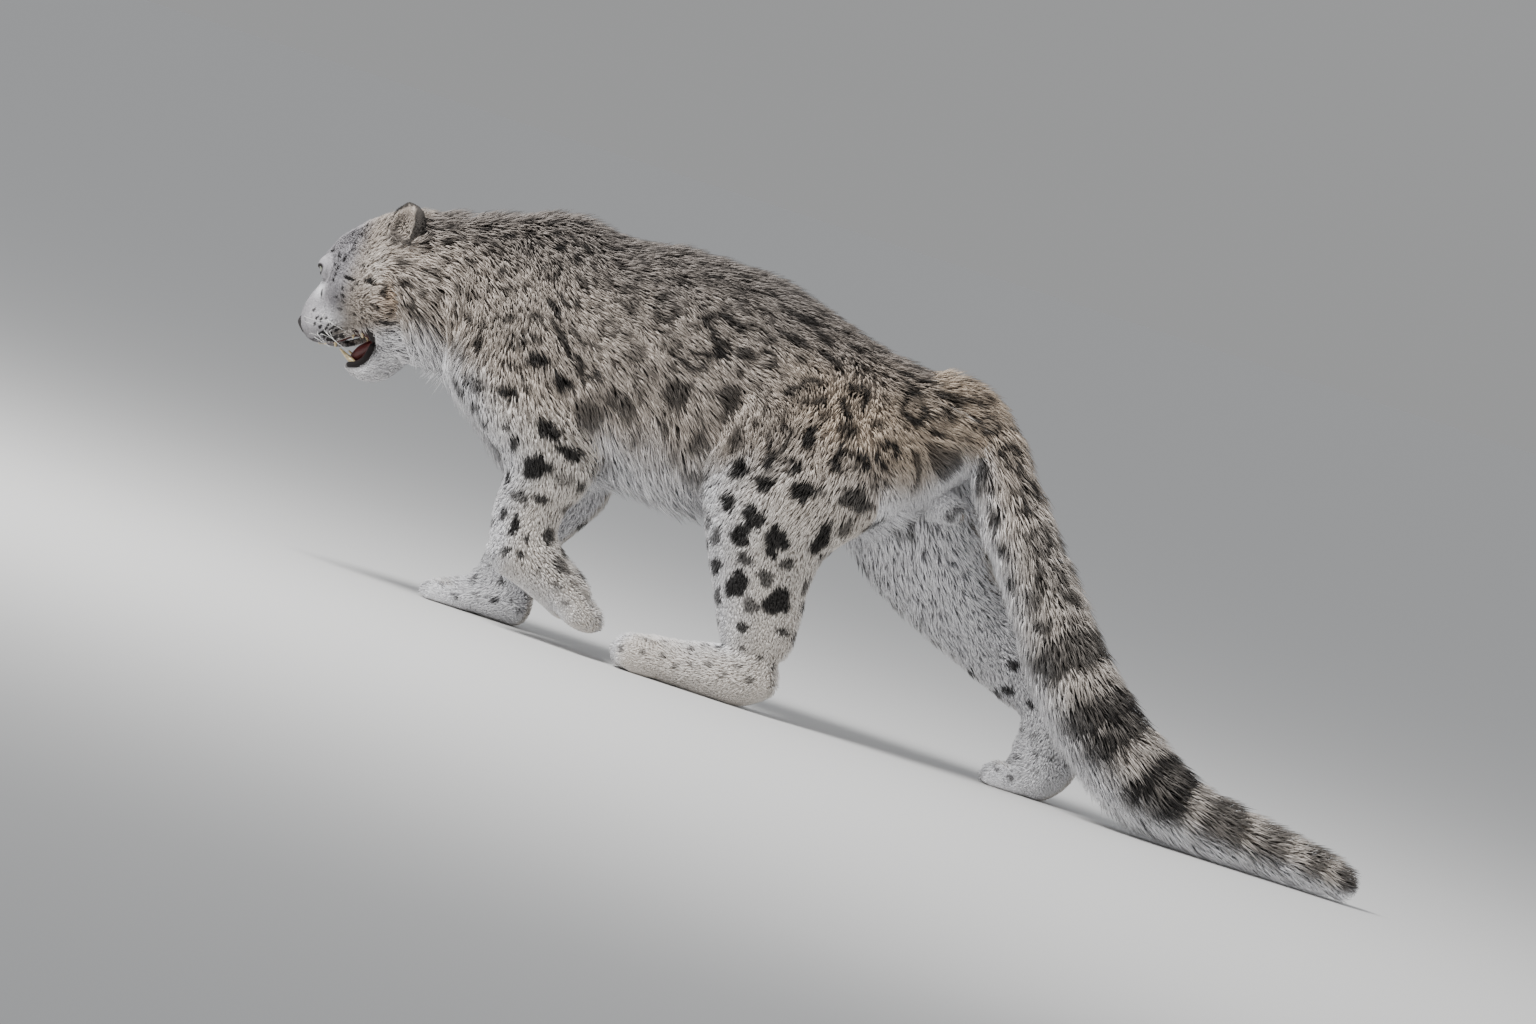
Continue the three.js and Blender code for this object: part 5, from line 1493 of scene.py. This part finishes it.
# %% Mesh of many blades
def triangle_mesh(name, points, triangles):
    """A mesh of triangles, made from whole tables at once."""
    mesh = bpy.data.meshes.new(name)
    mesh.vertices.add(len(points))
    mesh.vertices.foreach_set("co", metres(points).astype(np.float32).ravel())
    mesh.loops.add(len(triangles) * 3)
    mesh.loops.foreach_set("vertex_index", triangles.astype(np.int32).ravel())
    mesh.polygons.add(len(triangles))
    mesh.polygons.foreach_set("loop_start", np.arange(0, len(triangles) * 3, 3, dtype=np.int32))
    mesh.polygons.foreach_set("loop_total", np.full(len(triangles), 3, dtype=np.int32))
    mesh.update(calc_edges=True)
    mesh.polygons.foreach_set("use_smooth", np.ones(len(triangles), bool))
    return mesh


def colour_points(mesh, rgba):
    layer = mesh.color_attributes.new("markings", "FLOAT_COLOR", "POINT")
    layer.data.foreach_set("color", rgba.astype(np.float32).ravel())


def blades(name, chosen, rings):
    """One piece of the coat: closed blades with so many rings of three corners and a point each."""
    points, level = blade_corners(chosen, rings)
    starts = np.arange(len(chosen)) * len(level)
    triangles = (blade_faces(rings)[None] + starts[:, None, None]).reshape(-1, 3)
    mesh = triangle_mesh(name, points.reshape(-1, 3), triangles)
    colour_points(mesh, blade_colours(chosen, rings, level))
    layer = mesh.uv_layers.new(name="OFBake")
    patches = blade_patches(chosen, rings, level)[triangles.ravel()]
    layer.data.foreach_set("uv", patches.astype(np.float32).ravel())
    piece = bpy.data.objects.new(name, mesh)
    bpy.context.scene.collection.objects.link(piece)
    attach(piece, "root")
    mesh.materials.append(fur_material)
    print(name, len(chosen), "tufts", len(triangles), "triangles")
    return piece
# %% [markdown]
# Hair is soft and a little glossy along its length. Its colour comes from the markings, broken up by a
# fine noise, as no two hairs are the same, and the skin below has the same colours with a bump of short
# hair, which is all the coat that the nose, lips and ears' edges have.

# %% Materials
GLAZE_ROUGHNESS = 0.04  # of the clear wet layer on eyes and teeth


def material(name, roughness, sheen=0.0, specular=0.4, coat_layer=0.0):
    """A material with its nodes, its links and its shader."""
    made = bpy.data.materials.new(name)
    made.use_nodes = True
    shader = made.node_tree.nodes["Principled BSDF"]
    shader.inputs["Roughness"].default_value = roughness
    shader.inputs["Sheen Weight"].default_value = sheen
    shader.inputs["Specular IOR Level"].default_value = specular
    shader.inputs["Coat Weight"].default_value = coat_layer
    shader.inputs["Coat Roughness"].default_value = GLAZE_ROUGHNESS
    return made, made.node_tree.nodes, made.node_tree.links, shader


def noise_on(nodes, links, scale, detail=2):
    """A noise that stays with the object, finer as scale grows."""
    noise = nodes.new("ShaderNodeTexNoise")
    noise.inputs["Scale"].default_value = scale
    noise.inputs["Detail"].default_value = detail
    links.new(nodes.new("ShaderNodeTexCoord").outputs["Object"], noise.inputs["Vector"])
    return noise


def relief_from(nodes, links, shader, noise, strength, distance):
    """Small bumps of the surface, from a noise."""
    bump = nodes.new("ShaderNodeBump")
    bump.inputs["Strength"].default_value = strength
    bump.inputs["Distance"].default_value = distance
    links.new(noise.outputs["Fac"], bump.inputs["Height"])
    links.new(bump.outputs["Normal"], shader.inputs["Normal"])


# %% Finishes that carry the markings
def marked(nodes, links, shader, scale, low, high):
    """The painted markings, made lighter and darker by a noise."""
    markings = nodes.new("ShaderNodeAttribute")
    markings.attribute_name = "markings"
    noise = noise_on(nodes, links, scale, 3)
    spread = nodes.new("ShaderNodeMapRange")
    spread.inputs["From Min"].default_value = 0.3
    spread.inputs["From Max"].default_value = 0.7
    spread.inputs["To Min"].default_value = low
    spread.inputs["To Max"].default_value = high
    blend = nodes.new("ShaderNodeVectorMath")
    blend.operation = "SCALE"
    links.new(noise.outputs["Fac"], spread.inputs["Value"])
    links.new(markings.outputs["Color"], blend.inputs[0])
    links.new(spread.outputs["Result"], blend.inputs["Scale"])
    links.new(blend.outputs["Vector"], shader.inputs["Base Color"])


fur_material, nodes, links, shader = material("fur", 0.6, sheen=0.04, specular=0.16)
marked(nodes, links, shader, 260, 0.86, 1.14)

skin_material, nodes, links, shader = material("short hair", 0.7, sheen=0.04, specular=0.16)
marked(nodes, links, shader, 900, 0.72, 1.12)
relief_from(nodes, links, shader, noise_on(nodes, links, 1400), 0.35, 0.0008)
print(fur_material.name, "and", skin_material.name)


# %% Finishes of nose, tongue, teeth and whiskers
def plain_bumped(name, colour, roughness, scale, strength, specular=0.5, coat_layer=0.0, ripple_share=0.35):
    """A finish of one kind of colour that varies with a bumpy noise."""
    made, nodes, links, shader = material(name, roughness, specular=specular, coat_layer=coat_layer)
    noise = noise_on(nodes, links, scale, 4)
    ramp = nodes.new("ShaderNodeValToRGB")
    shares = (1 - ripple_share, 1 + ripple_share)
    for stop, place, share in zip(ramp.color_ramp.elements, (0.3, 0.75), shares):
        stop.position = place
        stop.color = (*np.clip(paint(colour) * share, 0, 1), 1)
    links.new(noise.outputs["Fac"], ramp.inputs["Fac"])
    links.new(ramp.outputs["Color"], shader.inputs["Base Color"])
    relief_from(nodes, links, shader, noise, strength, 0.0006)
    return made


nose_material = plain_bumped("nose leather", (34, 28, 28), 0.4, 900, 0.6)
tongue_material = plain_bumped("tongue", (94, 44, 43), 0.38, 700, 0.7)
tooth_material = plain_bumped("ivory", (206, 186, 142), 0.25, 120, 0.1, coat_layer=0.4)
whisker_material = plain_bumped("whiskers", (228, 226, 220), 0.35, 60, 0.05)
print(nose_material.name, tongue_material.name, tooth_material.name, whisker_material.name)
# %% [markdown]
# The skin is one piece without a seam, and it takes the place of all the solid model's nodes of flesh. It
# has the same markings as the coat over it, so nothing pale shows through, and where it is bare it is dark:
# round the eyes, along the lips and at the corners of the mouth.

# %% How a piece is made
def finish_piece(name, points, faces, finish, slot):
    """A piece of the model from points and faces, on its body and with its finish."""
    mesh = mesh_of(name, metres(points), faces)
    mesh.polygons.foreach_set("use_smooth", np.ones(len(mesh.polygons), bool))
    mesh.materials.append(finish)
    piece = bpy.data.objects.new(name, mesh)
    bpy.context.scene.collection.objects.link(piece)
    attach(piece, "root")
    return piece


def painted(piece, colours):
    """The markings of a piece, one colour for each of its points."""
    colour_points(piece.data, np.concatenate([np.clip(colours, 0, 1), np.ones((len(colours), 1))], -1))


# %% Colour of the skin
GUM = paint((70, 32, 30))
RIM = paint((26, 21, 21))
skin_colour = coat_colour(outline, skin_normals, skin_form, skin_place) * 0.95
rims = np.zeros(len(skin_points))
for lip, _ in LIPS:
    for side in (1, -1):
        rims = np.maximum(rims, smoothstep(6.5, 4.2, from_lip(skin_points, lip, side)))
for side in (1, -1):
    forward, aside, above, far = beside_eye(skin_points, side)
    almond = np.hypot(aside / 14, (above + 0.12 * side * aside) / 8.6)
    rims = np.maximum(rims, smoothstep(1.12, 0.92, almond) * ((forward > 4) & (far < 26)))
web, within = (share * form_is(skin_form, "head") for share in mouth_skin(skin_points))
rims = np.maximum(rims, web)
inside = np.maximum(smoothstep(1.1, 1.02, in_mouth(skin_points)), within)
skin_colour = mix(mix(skin_colour, GUM, inside), RIM, rims)
skin = finish_piece("skin", skin_points, skin_faces, skin_material, "coat")
painted(skin, skin_colour)
flesh = [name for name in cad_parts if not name.startswith(("eye_", "nose", "tongue"))]
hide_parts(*flesh)
print("skin in place of", len(flesh), "nodes")

# %% [markdown]
# The coat is cut into pieces by where it grows, so that none is too heavy to load. Long hair gets one ring
# more than short hair, as it bends further.

# %% Parts of the coat
on_head_root = form_is(root_form, "head")
on_trunk_root = form_is(root_form, "trunk")
on_ear_root = form_is(root_form, "ear")
FACE_COAT = 7  # where the coat is thinner than this, it is the face's
left_half = head_sizes(root)[2] > 0
GROUPS = {
    "coat_left_face": on_head_root & (coat < FACE_COAT) & left_half,
    "coat_right_face": on_head_root & (coat < FACE_COAT) & ~left_half,
    "coat_head": on_head_root & (coat >= FACE_COAT) | on_ear_root,
    "coat_tail": form_is(root_form, "tail"),
}
for side_name, here in (("left", root[:, 1] < 0), ("right", root[:, 1] >= 0)):
    for part, low, high in (("front", -np.inf, -170), ("middle", -170, 60), ("back", 60, np.inf)):
        between = (root[:, 0] >= low) & (root[:, 0] < high)
        GROUPS[f"coat_{side_name}_{part}"] = on_trunk_root & here & between
for which, leg_label, foot_label in (("fore", "foreleg", "forefoot"), ("hind", "hind_leg", "hind_foot")):
    for side_name, near in (("left", "near_"), ("right", "far_")):
        GROUPS[f"coat_{side_name}_{leg_label}"] = root_form == FORMS.index(near + which)
        GROUPS[f"coat_{side_name}_{foot_label}"] = root_form == FORMS.index(near + which + "_foot")
print(len(GROUPS), "parts,", sum(here.sum() for here in GROUPS.values()), "tufts of", len(root))

# %% Coat pieces
LONG_COAT = 27
total = 0
for name, here in GROUPS.items():
    for length, rings, grown in (("long", 3, coat > LONG_COAT), ("short", 2, coat <= LONG_COAT)):
        chosen = np.flatnonzero(here & grown)
        if len(chosen) > 0:
            total += len(blades(name + "_" + length, chosen, rings).data.polygons)
print("coat", total, "triangles")

# %% [markdown]
# An eye is a ball with a clear bulge in front. It is painted from the pupil outwards, with the pale iris of
# the species and fine spokes in it, under a wet layer, and it sits as deep in its lids as a real one.

# %% Eyes
BULGE = 1.1
IRIS = paint((150, 158, 128))
IRIS_EDGE = paint((104, 112, 96))
PUPIL = paint((14, 13, 14))
EYE_ROUND = 72  # points round the eye


def eye_piece(name, side):
    """The eyeball with its clear bulge in front, painted ring by ring from the pupil outwards."""
    centre = on_head(EYE[0], EYE[1], side * EYE[2])[0]
    gaze, out, up = gaze_axes(side)
    tilt = np.concatenate([np.linspace(0, 0.9, 46), np.linspace(0.95, np.pi, 22)[:-1]])[1:]
    turn = 2 * np.pi * np.arange(EYE_ROUND) / EYE_ROUND
    radius = EYE_RADIUS + BULGE * smoothstep(0.75, 0.3, tilt)
    spokes = np.cos(turn)[:, None] * out + np.sin(turn)[:, None] * up
    forward, outward = ((radius * part)[:, None, None] for part in (np.cos(tilt), np.sin(tilt)))
    rings = centre + forward * gaze + outward * spokes
    points, faces = closed(rings, centre + gaze * (EYE_RADIUS + BULGE), centre - gaze * EYE_RADIUS)
    piece = finish_piece(name + "_ball", points, faces, eye_material, "eye")
    spoke = np.concatenate([np.tile(turn, len(tilt)), [0, 0]])
    angle = np.concatenate([np.repeat(tilt, len(turn)), [0, np.pi]])
    streak = 0.85 + 0.18 * np.sin(23 * spoke + 2) + 0.1 * np.sin(41 * spoke)
    colours = mix(np.broadcast_to(IRIS, points.shape), IRIS_EDGE, smoothstep(0.3, 0.72, angle))
    colours = colours * streak[:, None]
    colours = mix(colours, PUPIL, smoothstep(0.25, 0.22, angle))
    colours = mix(colours, BLACK, smoothstep(0.66, 0.74, angle))
    painted(piece, colours)
    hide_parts(name)


eye_material, nodes, links, shader = material("eye", 0.12, specular=0.6, coat_layer=1.0)
marked(nodes, links, shader, 1500, 0.94, 1.06)
for side_name, side in SIDES.items():
    eye_piece("eye_" + side_name, side)
print("eyes", 2 * EYE_RADIUS, "mm across")

# %% [markdown]
# The nose leather is a small loft with two eggs cut out of it for the nostrils, on the finest grid of all.
# The tongue is a loft along its middle.

# %% Nose and tongue
nose_grid = Grid((-700, -40, 290), (-620, 60, 380), 1.0)
nose_field = nose_grid.distance(hull(NOSE, HEAD_PLACE, ALONG, UP, OUT), 6)
for side in (1, -1):
    place, sizes = NOSTRIL
    nostril = egg(nose_grid, on_head(place[0], place[1], side * place[2])[0], sizes, (ALONG, OUT, UP))
    nose_field = cut(nose_field, nostril, 1.5)
nose_points, nose_faces = nose_grid.surface(nose_field)
nose = finish_piece("nose_leather", nose_points, nose_faces, nose_material, "nose_leather")
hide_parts("nose")
tongue_rows = [(*on_head(a, u, 0)[0], height, width) for a, u, height, width in TONGUE]
points, faces = limb(tongue_rows, side=OUT)
tongue = finish_piece("tongue_blade", points, faces, tongue_material, "tongue")
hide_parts("tongue")
print("nose", len(nose_points), "points, tongue", len(points), "points")

# %% [markdown]
# The open mouth shows the four long canines, the small front teeth between them and the cheek teeth behind.
# Each tooth is a short loft from its root to its tip.

# %% Teeth
def tooth(root_at, tip_at, thick):
    """A tooth from its root to its tip, thinner towards the tip."""
    start, end = on_head(*root_at)[0], on_head(*tip_at)[0]
    rows = []
    for share in (0, 0.3, 0.6, 0.92):
        half = thick * (1 - 0.8 * share ** 1.4)
        rows.append((*(start + (end - start) * share), half, half))
    return limb(rows, side=OUT, sides=12)


# root, tip and half thickness: lower and upper canine, two cheek teeth, then the front teeth
TEETH = []
for side in (1, -1):
    TEETH.append(((87, -109, side * 16), (108, -81, side * 17), 5))
    TEETH.append(((126, -56, side * 19), (129, -73, side * 19), 5))
    TEETH.append(((62, -58, side * 30), (63, -75, side * 30), 6))
    TEETH.append(((78, -60, side * 28), (79, -73, side * 28), 4.5))
    for place in range(3):
        low_out, high_out = side * (3 + 4 * place), side * (2.5 + 4.5 * place)
        TEETH.append(((93 + place, -109, low_out), (99 - place, -99, low_out), 2))
        TEETH.append(((144 - place, -58, high_out), (145 - place, -68, high_out), 2.2))
for index, form in enumerate(TEETH):
    finish_piece(f"tooth_{index + 1}", *tooth(*form), tooth_material, "eye")
print(len(TEETH), "teeth")

# %% [markdown]
# Whiskers stand in four rows on the pads beside the nose. Each is a thin loft that starts on the skin,
# points outwards and bows back, and no two are quite alike.

# %% Whiskers
def whisker(start, way, bow, length):
    """One whisker from its start, bowed more and more towards its tip."""
    share = np.array([0, 0.35, 0.7, 0.97])
    path = start + np.outer(share * length, way) + np.outer((share ** 2) * length, bow)
    thick = 0.55 * (1 - 0.85 * share)
    return limb(np.column_stack([path, thick, thick]), side=UP, sides=5, steps=2)


whiskers = []
for side in (1, -1):
    for row in range(4):
        for place in range(4):
            start = on_head(146 - 11 * place - 2 * row, -30 - 9 * row, side * (30 + 3.5 * place))[0]
            beyond = face_grid.sample(face_field, start[None])[0]
            start = start - face_grid.slope(face_field, start[None])[0] * beyond
            way = unit(ALONG * rng.uniform(-0.5, -0.1) + side * OUT * 1.0 + UP * rng.uniform(-0.35, 0.1))
            bow = -0.35 * ALONG - 0.12 * UP * (1 + row / 2)
            whiskers.append(whisker(start, way, bow, rng.uniform(55, 95)))
starts = np.cumsum([0] + [len(points) for points, _ in whiskers[:-1]])
whisker_points = np.vstack([points for points, _ in whiskers])
whisker_faces = np.vstack([faces + start for (_, faces), start in zip(whiskers, starts)])
finish_piece("whiskers", whisker_points, whisker_faces, whisker_material, "coat")
print(len(whiskers), "whiskers")

# %% [markdown]
# The bare edge of the lids is dark and a little swollen. It is a thin ring laid on the eyeball round the
# slit.

# %% Edges of the lids
LID_TURN = (0.72, 0.43)  # how far round the eyeball the slit reaches, across and up
LID_PLACES = 40
LID_EDGE = (1.5, 1.7)  # half height and half width of the edge
LID_SIDES = 8


def lid_rim(side):
    """The dark rim round the slit of the eye, laid on the eyeball."""
    centre = on_head(EYE[0], EYE[1], side * EYE[2])[0]
    gaze, out, up = gaze_axes(side)
    turn = np.linspace(0, 2 * np.pi, LID_PLACES + 1)[:-1]
    wide = LID_TURN[0] * np.cos(turn)
    high = LID_TURN[1] * np.sin(turn)
    ways = unit(gaze + np.outer(np.tan(wide), out) + np.outer(np.tan(high), up))
    return centre, centre + ways * (EYE_RADIUS + 1.2)


for side_name, side in SIDES.items():
    centre, path = lid_rim(side)
    along_path = unit(np.roll(path, -1, 0) - np.roll(path, 1, 0))
    up_path = unit(path - centre)
    height, width = (np.full(LID_PLACES, half) for half in LID_EDGE)
    rings = ovals(path, up_path, np.cross(along_path, up_path), height, width, sides=LID_SIDES)
    corner = np.arange(LID_PLACES * LID_SIDES).reshape(LID_PLACES, LID_SIDES)
    after, next_ring = np.roll(corner, -1, 1), np.roll(corner, -1, 0)
    faces = np.stack([corner, after, np.roll(after, -1, 0), next_ring], -1).reshape(-1, 4)
    finish_piece("lids_" + side_name, rings.reshape(-1, 3), faces, nose_material, "nose_leather")
print("edges of the lids,", LID_PLACES, "places round each")

# %% [markdown]
# The model stands on a plain pale floor without an edge in sight. The light is a studio's: a soft pale
# world, a broad lamp high up on the left and in front, and a weak one to lift the shade behind the legs.

# %% Floor
FLOOR = 60  # half its side, in metres
corners = [(-FLOOR, -FLOOR, 0), (FLOOR, -FLOOR, 0), (FLOOR, FLOOR, 0), (-FLOOR, FLOOR, 0)]
floor_mesh = mesh_of("floor", corners, [(0, 1, 2, 3)])
floor = bpy.data.objects.new("floor", floor_mesh)
bpy.context.scene.collection.objects.link(floor)
floor_mesh.materials.append(plain_bumped("pale floor", (200, 199, 197), 0.95, 400, 0.0, ripple_share=0.02))
print("floor", 2 * FLOOR, "m wide")

# %% World
world = bpy.data.worlds.new("studio")
world.use_nodes = True
nodes, links = world.node_tree.nodes, world.node_tree.links
sky = nodes["Background"]
sky.inputs["Strength"].default_value = 0.62
parts = nodes.new("ShaderNodeSeparateXYZ")
rise = nodes.new("ShaderNodeMapRange")
shades = nodes.new("ShaderNodeValToRGB")
shades.color_ramp.elements[0].color = (0.56, 0.565, 0.57, 1)  # as light as the floor far away
shades.color_ramp.elements[1].color = (1.0, 1.03, 1.08, 1)
rise.inputs["From Max"].default_value = 0.7
links.new(nodes.new("ShaderNodeTexCoord").outputs["Generated"], parts.inputs["Vector"])
links.new(parts.outputs["Z"], rise.inputs["Value"])
links.new(rise.outputs["Result"], shades.inputs["Fac"])
links.new(shades.outputs["Color"], sky.inputs["Color"])
bpy.context.scene.world = world
print("world", world.name)

# %% Lamps
LIT = Vector((0, 0, 0.3))  # what the lamps point at


def lamp(name, place, size, power):
    """A square lamp that points at the model."""
    light = bpy.data.lights.new(name, "AREA")
    light.size = size
    light.energy = power
    thing = bpy.data.objects.new(name, light)
    thing.location = place
    thing.rotation_euler = (LIT - Vector(place)).to_track_quat("-Z", "Y").to_euler()
    bpy.context.scene.collection.objects.link(thing)


lamp("key", (-2.2, -1.7, 3.6), 1.6, 330)
lamp("fill", (2.8, -3.4, 1.8), 3.0, 60)
